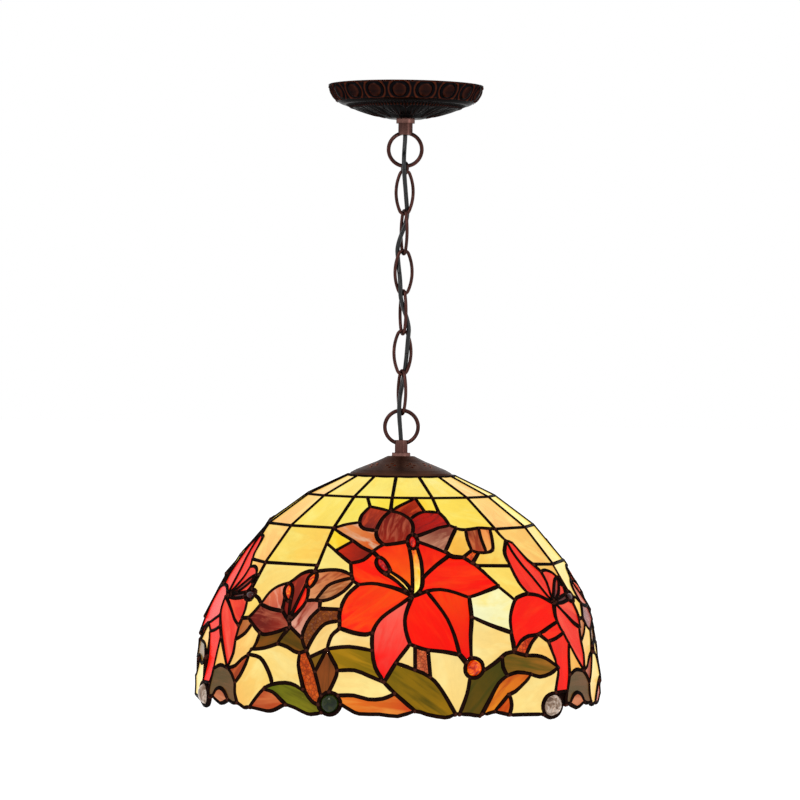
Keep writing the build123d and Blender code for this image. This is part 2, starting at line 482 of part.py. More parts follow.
# a point inside each piece of glass, under the name of the group that it belongs to
PIECES = {
    "top_row": [(-41, 210), (-17, 210), (7, 210), (32, 210), (55, 210)],
    "grid_panels": [(-41, 185), (-41, 150), (-23, 188), (-12, 195), (0, 197), (14, 194), (32, 185), (55, 185)],
    "lower_background": [(-25, 157), (-24, 138), (21, 158), (42, 158), (37, 130), (58, 155), (62, 134), (-41, 127),
                         (-49, 94), (-20, 102)],
    "cream_background": [(28, 100), (27, 70), (13, 40), (2.5, 52), (-10, 27), (-13, 70), (-22, 70), (-34, 45),
                         (-45, 25), (-49, 60), (60, 45), (43, 62), (39, 15)],
    "brown_flower": [(-14, 181), (-2, 172), (4, 191), (13, 179), (14, 163), (-17, 165), (-16, 148)],
    "bud": [(31, 162), (37.5, 163)],
    "front_lily": [(0, 145), (-12, 131), (11, 147), (20, 130), (-10, 100), (-3, 70), (9, 85), (19, 95)],
    "stamens": [(0, 123), (5.9, 140), (-30.3, 105), (-35.6, 98), (60, 114.5), (60, 103)],
    "small_flower": [(-25, 122), (-20, 115), (-33.5, 115), (-41, 105), (-41, 83), (-28, 92)],
    "side_lily": [(45, 130), (52, 130), (60, 124), (62.5, 111), (63.5, 92), (43, 95), (51, 76), (52.5, 50),
                  (60, 75)],
    "leaves": [(5, 20), (-12, 52), (-23, 50), (-20, 38), (-39, 66), (-32, 66), (-29, 12), (40, 45), (24, 25),
               (57, 22)],
    "stems": [(6.5, 52), (-26, 40), (28, 147), (39, 65), (-25.5, 85)],
    "amber_rim": [(-5, 8), (-39, 8), (-50, 37), (-51.5, 75), (30, 22), (30.7, 8), (60, 7)],
}
JEWELS = {"jewels": [(5, 160), (-5.7, 139), (21.3, 44.5), (-18.8, 10), (-29.4, 123), (-36.8, 111), (-53, 105.5),
                     (48, 6)]}


def radius_at(height):
    for (low, r_low), (high, r_high) in zip(PROFILE, PROFILE[1:]):
        if height <= high:
            return r_low + (r_high - r_low) * (height - low) / (high - low)
    return PROFILE[-1][1]


def on_shade(angle, height):
    """The point of the shade's surface there: flat panels between the columns above, round below."""
    turned = (angle - C0) % REPEAT_ANGLE + C0
    for left, right in zip(COLUMNS, COLUMNS[1:]):
        if turned <= right:
            break
    half = math.radians((right - left) / 2)
    off = math.radians(turned - (left + right) / 2)
    flat = math.cos(half) / math.cos(off)
    share = min(max((height - ROUND_BELOW) / (FACETED_ABOVE - ROUND_BELOW), 0), 1)
    r = radius_at(height) * (1 - share + share * flat)
    turn = math.radians(angle)
    return Vector(r * math.sin(turn), -r * math.cos(turn), RIM_Z + height)


def smooth(points):
    """Points along a curve through the given ones, which it keeps: more of them where it bows more."""
    closed = points[0] == points[-1]
    before = points[-2] if closed else points[0]
    after = points[1] if closed else points[-1]
    chain = [before, *points, after]
    out = [points[0]]
    for p0, p1, p2, p3 in zip(chain, chain[1:], chain[2:], chain[3:]):
        def at(t):
            return tuple(
                0.5 * (2 * b + (c - a) * t + (2 * a - 5 * b + 4 * c - d) * t**2
                       + (3 * b - a - 3 * c + d) * t**3)
                for a, b, c, d in zip(p0, p1, p2, p3))
        middle = at(0.5)
        bow = math.hypot((middle[0] - (p1[0] + p2[0]) / 2) * MM_PER_DEGREE, middle[1] - (p1[1] + p2[1]) / 2)
        steps = 1 + sum(bow > limit for limit in BOW_LIMITS)
        out += [at(step / steps) for step in range(1, steps)]
        out.append(p2)
    return out


def lead_graph():
    """Each point of the cartoon, over three repeats side by side, with its neighbours."""
    graph = {}
    for repeat in (-1, 0, 1):
        for points, curved in LEAD_LINES:
            run = smooth(points) if curved and len(points) > 2 else points
            run = [(round(x + REPEAT_ANGLE * repeat, 3), round(y, 3)) for x, y in run]
            for a, b in zip(run, run[1:]):
                graph.setdefault(a, set()).add(b)
                graph.setdefault(b, set()).add(a)
    return graph


def cells(graph):
    """The closed cells between the lead lines, each a list of points."""
    around = {}
    for point, others in graph.items():
        around[point] = sorted(others, key=lambda o: math.atan2(o[1] - point[1], o[0] - point[0]))
    used, found = set(), []
    for start in graph:
        for second in graph[start]:
            if (start, second) in used:
                continue
            loop, a, b = [], start, second
            while (a, b) not in used:
                used.add((a, b))
                loop.append(a)
                ring = around[b]
                a, b = b, ring[ring.index(a) - 1]
            area = sum(p[0] * q[1] - q[0] * p[1] for p, q in zip(loop, loop[1:] + loop[:1])) / 2
            if area > 0:
                found.append(loop)
    return found


def inside(point, loop):
    x, y = point
    hit = False
    for (x1, y1), (x2, y2) in zip(loop, loop[1:] + loop[:1]):
        if (y1 > y) != (y2 > y) and x < x1 + (y - y1) * (x2 - x1) / (y2 - y1):
            hit = not hit
    return hit


def flat_cell(loop):
    """The cell on its best flat plane, whose z axis points outward: (plane, outline points)."""
    points = [on_shade(*p) for p in loop]
    centre = sum(points, Vector(0, 0, 0)) / len(points)
    normal = Vector(0, 0, 0)
    for p, q in zip(points, points[1:] + points[:1]):
        normal += (p - centre).cross(q - centre)
    normal = normal.normalized()
    if normal.dot(Vector(centre.X, centre.Y, 0)) < 0:
        normal = -normal
    across = Vector(-centre.Y, centre.X, 0).normalized()
    plane = Plane(origin=centre, x_dir=across - normal * across.dot(normal), z_dir=normal)
    flat = [plane.to_local_coords(p) for p in points]
    outline = [(p.X, p.Y) for p in flat]
    turn = sum(p[0] * q[1] - q[0] * p[1] for p, q in zip(outline, outline[1:] + outline[:1]))
    return plane, outline if turn > 0 else outline[::-1]


def crossing(first, second):
    """Where two lines (point, direction) cross, or None when they run almost alike."""
    (px, py), (dx, dy) = first
    (qx, qy), (ex, ey) = second
    sine = dx * ey - dy * ex
    if abs(sine) < 0.02:
        return None
    along = ((qx - px) * ey - (qy - py) * ex) / sine
    return px + dx * along, py + dy * along


def inset(outline, amount):
    """The outline shrunk by the amount all round. Edges that the shrinking uses up are dropped."""
    lines = []
    for (x1, y1), (x2, y2) in zip(outline, outline[1:] + outline[:1]):
        length = math.hypot(x2 - x1, y2 - y1)
        dx, dy = (x2 - x1) / length, (y2 - y1) / length
        lines.append(((x1 - dy * amount, y1 + dx * amount), (dx, dy)))
    while True:
        corners = []
        for before, line in zip(lines[-1:] + lines[:-1], lines):
            corners.append(crossing(before, line) or line[0])
        lengths = [(q[0] - p[0]) * line[1][0] + (q[1] - p[1]) * line[1][1]
                   for p, q, line in zip(corners, corners[1:] + corners[:1], lines)]
        shortest = min(lengths)
        if shortest > 0.05 or len(lines) <= 3:
            return corners
        lines.pop(lengths.index(shortest))


def shade_glass(found):
    """The panes of one third, and the windows that they sit in, each on its own plane."""
    windows = []
    panes = {}
    for group, seeds in {**PIECES, **JEWELS}.items():
        for seed in seeds:
            loop = min((c for c in found if inside(seed, c)), key=lambda c: max(p[0] for p in c))
            plane, outline = flat_cell(loop)
            window = make_face(Polyline(*inset(outline, LEAD_HALF), close=True))
            windows.append(plane * extrude(window, WINDOW_DEPTH, both=True))
            pane = make_face(Polyline(*inset(outline, LEAD_HALF + GLASS_GAP), close=True))
            body = extrude(pane, GLASS / 2, both=True)
            if group in JEWELS:
                body += Pos(0, 0, GLASS / 2) * extrude(pane, JEWEL_DOME, taper=35)
            panes.setdefault(group, []).append(plane * body)
    return windows, panes


def stack(rows, corners, grow):
    """A flat-sided solid through rows of (height, radius), with its corners at these angles."""
    rings = []
    for height, radius in rows:
        r = radius + grow
        rings.append([(r * math.sin(math.radians(a)), -r * math.cos(math.radians(a)), RIM_Z + height)
                      for a in corners])
    faces = [Face(Wire.make_polygon(rings[0])), Face(Wire.make_polygon(rings[-1]))]
    for low, high in zip(rings, rings[1:]):
        for k in range(len(corners)):
            faces.append(Face(Wire.make_polygon([low[k - 1], low[k], high[k], high[k - 1]])))
    return Solid(Shell(faces))


def shade_wall():
    """The whole lead wall: one facet for each column above, and many small ones for the round part."""
    below = [row for row in PROFILE if row[0] <= FACETED_ABOVE]
    above = [row for row in PROFILE if row[0] >= FACETED_ABOVE]
    columns = [c + REPEAT_ANGLE * repeat for repeat in range(REPEATS) for c in COLUMNS[:-1]]
    around = [C0 + 360 / ROUND_FACETS * k for k in range(ROUND_FACETS)]
    outer = stack(below, around, LEAD_PROUD) + stack(above, columns, LEAD_PROUD)
    inner = stack(below, around, -LEAD_THICK) + stack(above, columns, -LEAD_THICK)
    return outer - inner


def rim_line(found):
    """The points of the shade's lower edge, left to right: the edges that only one cell has."""
    edges = {(p, q) for loop in found for p, q in zip(loop, loop[1:] + loop[:1])}
    return sorted({p for p, q in edges if (q, p) not in edges and max(p[1], q[1]) < RIM_BAND})


def rim_cutters(found):
    """Prisms that clear the wall below the scalloped rim of one third, half a lead line under it."""
    rim = rim_line(found)
    cutters = []
    step = REPEAT_ANGLE / RIM_SECTIONS
    for section in range(RIM_SECTIONS):
        left = step * section - REPEAT_ANGLE / 2 - SECTION_LAP
        right = left + step + 2 * SECTION_LAP
        ends = []
        for angle in (left, right):
            (x1, y1), (x2, y2) = next((p, q) for p, q in zip(rim, rim[1:]) if p[0] <= angle < q[0])
            ends.append((angle, y1 + (y2 - y1) * (angle - x1) / (x2 - x1)))
        above = [p for p in rim if left < p[0] < right]
        loop = [(left, RIM_CLEAR), (right, RIM_CLEAR), ends[1], *above[::-1], ends[0]]
        plane, outline = flat_cell(loop)
        cutters.append(plane * extrude(make_face(Polyline(*inset(outline, LEAD_HALF), close=True)),
                                       WINDOW_DEPTH, both=True))
    return cutters


if __name__ == "__main__":
    ceiling_parts()
    chain_parts()
    cable_part()
    shade_hardware()
    found = cells(lead_graph())
    windows, panes = shade_glass(found)
    for group, bodies in panes.items():
        turned = [Rot(0, 0, REPEAT_ANGLE * repeat) * b for repeat in range(REPEATS) for b in bodies]
        nodes[f"glass_{group}"] = Compound(children=turned)
    cutters = windows + rim_cutters(found)
    nodes["shade_lead"] = shade_wall() - [
        Rot(0, 0, REPEAT_ANGLE * repeat) * c for repeat in range(REPEATS) for c in cutters]
    for name, shape in nodes.items():
        print(name, len(shape.solids()), round(shape.volume), shape.is_valid)
        export_step(shape, f"parts/{name}.step", write_pcurves=name != "shade_lead")
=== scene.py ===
"""Stained glass pendant lamp: the look of each piece, on the CAD frame. Metres, +Z up."""
import json
import math
import random

import bmesh
import bpy
import numpy as np
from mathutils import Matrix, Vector

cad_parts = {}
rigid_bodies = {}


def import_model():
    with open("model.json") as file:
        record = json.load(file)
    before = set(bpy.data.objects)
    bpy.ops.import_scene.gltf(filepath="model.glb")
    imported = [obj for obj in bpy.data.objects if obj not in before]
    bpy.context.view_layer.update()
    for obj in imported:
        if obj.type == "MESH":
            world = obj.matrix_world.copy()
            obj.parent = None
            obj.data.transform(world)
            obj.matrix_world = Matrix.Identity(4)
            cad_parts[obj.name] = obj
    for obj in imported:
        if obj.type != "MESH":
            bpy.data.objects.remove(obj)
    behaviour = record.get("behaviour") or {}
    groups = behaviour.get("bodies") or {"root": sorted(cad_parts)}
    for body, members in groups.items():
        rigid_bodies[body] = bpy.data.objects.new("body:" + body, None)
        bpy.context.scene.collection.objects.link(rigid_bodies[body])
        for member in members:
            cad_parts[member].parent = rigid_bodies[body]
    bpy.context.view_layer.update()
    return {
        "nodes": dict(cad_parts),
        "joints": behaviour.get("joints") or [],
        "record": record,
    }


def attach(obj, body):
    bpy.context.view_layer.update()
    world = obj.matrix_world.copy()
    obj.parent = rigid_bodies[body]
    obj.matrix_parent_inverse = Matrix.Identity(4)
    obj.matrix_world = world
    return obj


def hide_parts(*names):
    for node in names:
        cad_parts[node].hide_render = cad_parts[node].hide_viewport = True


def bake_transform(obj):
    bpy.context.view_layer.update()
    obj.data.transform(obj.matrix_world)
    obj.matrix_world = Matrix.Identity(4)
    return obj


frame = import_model()
random.seed(7)
nodes = frame["nodes"]
scene = bpy.context.scene
scene.view_settings.view_transform = "Standard"
scene.view_settings.look = "None"

# ---- camera, floor and light --------------------------------------------------------------------
EYE = 3.5                 # from the lamp's axis
EYE_Z = -0.2725           # the photograph's horizon
SEEN_WIDTH = 0.8          # what the picture spans at the lamp's axis
ROLL = -0.77              # degrees that the photograph is turned
SHIFT = (-0.003, -0.0525)
SENSOR = 36
camera = bpy.data.objects.new("camera", bpy.data.cameras.new("camera"))
scene.collection.objects.link(camera)
scene.camera = camera
camera.data.sensor_width = SENSOR
camera.data.lens = SENSOR * EYE / SEEN_WIDTH
camera.data.clip_end = 200
camera.location = (0.0, -EYE, EYE_Z)
camera.rotation_euler = (math.radians(90), math.radians(ROLL), 0)
camera.data.shift_x, camera.data.shift_y = SHIFT


class Graph:
    """Short words for building a material's nodes."""

    def __init__(self, name):
        self.mat = bpy.data.materials.new(name)
        self.mat.use_nodes = True
        self.tree = self.mat.node_tree
        self.tree.nodes.clear()
        self.out = self.add("ShaderNodeOutputMaterial")

    def add(self, kind, **values):
        node = self.tree.nodes.new(kind)
        for key, value in values.items():
            if key in node.inputs:
                self.set(node.inputs[key], value)
            elif key.replace("_", " ") in node.inputs:
                self.set(node.inputs[key.replace("_", " ")], value)
            else:
                setattr(node, key, value)
        return node

    def set(self, socket, value):
        if isinstance(value, bpy.types.NodeSocket):
            self.tree.links.new(value, socket)
        else:
            socket.default_value = value

    def math(self, operation, a, b=0.0, clamp=False):
        node = self.add("ShaderNodeMath", operation=operation, use_clamp=clamp)
        self.set(node.inputs[0], a)
        self.set(node.inputs[1], b)
        return node.outputs[0]

    def mix(self, share, a, b):
        node = self.add("ShaderNodeMix", data_type="RGBA")
        self.set(node.inputs["Factor"], share)
        self.set(node.inputs[6], a)
        self.set(node.inputs[7], b)
        return node.outputs[2]

    def ramp(self, share, stops):
        node = self.add("ShaderNodeValToRGB")
        self.set(node.inputs[0], share)
        band = node.color_ramp
        while len(band.elements) < len(stops):
            band.elements.new(0.5)
        for element, (at, color) in zip(band.elements, stops):
            element.position = at
            element.color = rgb(color)
        return node.outputs[0]

    def noise(self, where, scale, detail=3.0, rough=0.5, distortion=0.0):
        node = self.add("ShaderNodeTexNoise", Vector=where, Scale=scale, Detail=detail, Roughness=rough,
                        Distortion=distortion)
        return node.outputs["Fac"]


def linear(channel):
    c = channel / 255
    return c / 12.92 if c <= 0.04045 else ((c + 0.055) / 1.055) ** 2.4


def rgb(color):
    """An sRGB colour given as (r, g, b) of 255, or one grey number, made linear."""
    if isinstance(color, (int, float)):
        color = (color, color, color)
    return (*[linear(c) for c in color], 1.0)


def stage_material():
    g = Graph("floor_paper")
    at = g.add("ShaderNodeTexCoord").outputs["Object"]
    grain = g.noise(at, 30.0)
    tone = g.ramp(grain, [(0.0, 250), (1.0, 254)])
    paper = g.add("ShaderNodeBsdfDiffuse", Color=tone)
    glow = g.add("ShaderNodeEmission", Color=tone, Strength=0.16)
    both = g.add("ShaderNodeAddShader")
    g.set(both.inputs[0], paper.outputs[0])
    g.set(both.inputs[1], glow.outputs[0])
    g.set(g.out.inputs["Surface"], both.outputs[0])
    return g.mat


def add_object(name, data):
    obj = bpy.data.objects.new(name, data)
    scene.collection.objects.link(obj)
    return obj


def add_mesh(name, verts, faces, uvs=None):
    mesh = bpy.data.meshes.new(name)
    mesh.from_pydata([tuple(v) for v in verts], [], faces)
    if uvs is not None:
        layer = mesh.uv_layers.new(name="UVMap")
        for loop in mesh.loops:
            layer.data[loop.index].uv = uvs[loop.index]
    mesh.update()
    mesh.polygons.foreach_set("use_smooth", [True] * len(mesh.polygons))
    return add_object(name, mesh)


FLOOR_HALF = 60
FLOOR_Z = -1.5
corners = ((-1, -1), (1, -1), (1, 1), (-1, 1))
floor = add_mesh("floor", [(x * FLOOR_HALF, y * FLOOR_HALF, FLOOR_Z) for x, y in corners], [(0, 1, 2, 3)])
floor.data.materials.append(stage_material())

world = bpy.data.worlds.new("studio")
scene.world = world
world.use_nodes = True
background = world.node_tree.nodes["Background"]
background.inputs["Color"].default_value = (1, 1, 1, 1)
background.inputs["Strength"].default_value = 1.0
LIT_POINT = Vector((0, 0, -0.35))     # where the softboxes aim


def softbox(name, at, size, watts):
    light = bpy.data.lights.new(name, "AREA")
    light.size = size
    light.energy = watts
    obj = add_object(name, light)
    obj.location = at
    obj.rotation_euler = (LIT_POINT - Vector(at)).to_track_quat("-Z", "Y").to_euler()


softbox("key_light", (-1.4, -1.9, 1.0), 0.8, 12)
softbox("fill_light", (1.8, -1.5, 0.3), 1.2, 6)
softbox("back_light", (0.6, 2.2, 0.8), 1.6, 3)


# ---- materials ----------------------------------------------------------------------------------
INWARD = -0.003           # a face is an inner one if its normal, dotted with its place off the axis, is less


def metal(name, dark, mid, bright, rough=0.38, scale=60.0, bump=0.15, worn=0.6, tint=0.33,
          lit_inside=None):
    """Antique plated metal: a dark patina, rubbed through on its edges and high spots. lit_inside is the
    colour of its inner face in the light of the bulb, seen through the vents."""
    g = Graph(name)
    at = g.add("ShaderNodeTexCoord").outputs["Object"]
    cloud = g.noise(at, scale, 5.0, 0.62, 0.4)
    fine = g.noise(at, scale * 9, 3.0, 0.6)
    point = g.add("ShaderNodeNewGeometry").outputs["Pointiness"]
    edge = g.add("ShaderNodeMapRange", Value=point)
    edge.inputs["From Min"].default_value = 0.5
    edge.inputs["From Max"].default_value = 0.62
    patina = g.ramp(cloud, [(0.3, dark), (0.62, mid), (0.85, mid)])
    rubbed = g.math("MULTIPLY", edge.outputs[0], g.math("MULTIPLY", g.math("ADD", fine, 0.35), worn), True)
    color = g.mix(rubbed, patina, rgb(bright))
    lump = g.add("ShaderNodeBump", Strength=bump, Distance=0.0004, Height=g.mix(0.4, cloud, fine))
    sheen = g.math("ADD", g.math("MULTIPLY", fine, 0.22), rough - 0.11)
    base = g.add("ShaderNodeBsdfPrincipled", Base_Color=color, Metallic=0.9, Roughness=sheen,
                 Normal=lump.outputs[0])
    base.inputs["Specular IOR Level"].default_value = 0.2
    base.inputs["Specular Tint"].default_value = (*[tint] * 3, 1.0)
    if lit_inside:
        outward = g.add("ShaderNodeVectorMath", operation="DOT_PRODUCT")
        g.set(outward.inputs[0], g.add("ShaderNodeTexCoord").outputs["Normal"])
        level = g.add("ShaderNodeVectorMath", operation="MULTIPLY")
        g.set(level.inputs[0], at)
        level.inputs[1].default_value = (1.0, 1.0, 0.0)
        g.set(outward.inputs[1], level.outputs[0])
        inner = g.math("LESS_THAN", outward.outputs["Value"], INWARD)
        g.set(base.inputs["Emission Color"], rgb(lit_inside))
        g.set(base.inputs["Emission Strength"], g.math("MULTIPLY", inner, g.math("ADD", cloud, 0.25)))
    g.set(g.out.inputs["Surface"], base.outputs[0])
    return g.mat


def matter(name, low, high, scale=80.0, rough=0.5, metallic=0.0):
    """A simple surface with a grain: porcelain, card, solder, plastic, bare steel or brass."""
    g = Graph(name)
    at = g.add("ShaderNodeTexCoord").outputs["Object"]
    grain = g.noise(at, scale, 4.0, 0.6)
    lump = g.add("ShaderNodeBump", Strength=0.1, Distance=0.0003, Height=grain)
    base = g.add("ShaderNodeBsdfPrincipled", Base_Color=g.ramp(grain, [(0.3, low), (0.7, high)]),
                 Metallic=metallic, Roughness=g.math("ADD", g.math("MULTIPLY", grain, 0.2), rough - 0.1),
                 Normal=lump.outputs[0])
    g.set(g.out.inputs["Surface"], base.outputs[0])
    return g.mat


GLASS_BODY = 0.15         # the share of a lit glass's colour that is its own, and not the bulb behind it
CRACKLE_SCALE = 280.0
CRACKLE_WIDTH = 0.1
CRACKLE_TONE = (84, 20, 10)


def glass(name, across=105.0, along=0.2, contrast=1.0, warp=0.5, ripple=0.3, crackle=0.0, glow=0.8):
    """Streaky art glass lit from behind. Its colours come with each pane: at the top, at the bottom and
    in the streaks, which run along the pane. crackle gives the hammered glass of the stems."""
    g = Graph(name)
    sheet = g.add("ShaderNodeUVMap", uv_map="sheet").outputs[0]
    span = g.add("ShaderNodeUVMap", uv_map="span").outputs[0]
    top, low, vein = (g.add("ShaderNodeAttribute", attribute_name=f"tint_{part}").outputs["Color"]
                      for part in ("top", "low", "streak"))
    place = g.add("ShaderNodeMapping", Vector=sheet)
    place.inputs["Scale"].default_value = (along, 1.0, 1.0)
    streak = g.noise(place.outputs[0], across, 4.0, 0.55, warp)
    fine = g.noise(place.outputs[0], across * 4.5, 4.0, 0.65, 0.4)
    cloud = g.noise(sheet, across * 0.45, 3.0, 0.5, 0.3)
    down = g.add("ShaderNodeSeparateXYZ", Vector=span).outputs[0]
    down = g.math("ADD", down, g.math("MULTIPLY", g.math("SUBTRACT", cloud, 0.5), 0.9), True)
    color = g.mix(down, top, low)
    share = g.math("ADD", g.math("MULTIPLY", streak, 4.2 * contrast), -1.95 * contrast, True)
    color = g.mix(g.math("MULTIPLY", share, 0.9), color, vein)
    soft = g.math("ADD", g.math("MULTIPLY", cloud, 0.3), 0.74)
    shade = g.math("ADD", g.math("MULTIPLY", fine, 0.22), soft)
    height = g.math("ADD", g.math("MULTIPLY", streak, 0.6), g.math("MULTIPLY", fine, 0.4))
    if crackle:
        cells = g.add("ShaderNodeTexVoronoi", Vector=sheet, Scale=CRACKLE_SCALE, feature="DISTANCE_TO_EDGE")
        line = g.math("LESS_THAN", cells.outputs["Distance"], CRACKLE_WIDTH)
        color = g.mix(g.math("MULTIPLY", line, crackle), color, rgb(CRACKLE_TONE))
        height = cells.outputs["Distance"]
    lump = g.add("ShaderNodeBump", Strength=ripple, Distance=0.0012, Height=height)
    face = g.add("ShaderNodeBsdfPrincipled", Base_Color=g.mix(GLASS_BODY, rgb(0), color), Roughness=0.24,
                 Normal=lump.outputs[0], Emission_Color=color,
                 Emission_Strength=g.math("MULTIPLY", shade, glow))
    face.inputs["IOR"].default_value = 1.2
    face.inputs["Specular IOR Level"].default_value = 0.4
    g.set(g.out.inputs["Surface"], face.outputs[0])
    return g.mat


GLASS_LOOKS = {
    "glass_top_row": glass("glass_sky_top", 60.0, 0.5),
    "glass_grid_panels": glass("glass_sky", 50.0, 0.5),
    "glass_lower_background": glass("glass_sky_low", 60.0, 0.5),
    "glass_cream_background": glass("glass_cream", 60.0, 0.45),
    "glass_brown_flower": glass("glass_brown", 150.0, 0.25, 1.2, 0.9),
    "glass_bud": glass("glass_bud", 170.0, 0.25, 1.2),
    "glass_front_lily": glass("glass_lily", 90.0, 0.22, 0.9, 0.7),
    "glass_side_lily": glass("glass_side_lily", 90.0, 0.2, 0.9),
    "glass_stamens": glass("glass_stamen", 230.0, 0.3, 1.1, 0.9, glow=1.05),
    "glass_small_flower": glass("glass_mauve", 150.0, 0.25, 1.2, 0.9),
    "glass_leaves": glass("glass_leaf", 130.0, 0.1, 1.1, 0.3),
    "glass_stems": glass("glass_stem", 170.0, 0.5, ripple=0.8, crackle=0.5),
    "glass_amber_rim": glass("glass_amber", 110.0, 0.15, 1.1),
}
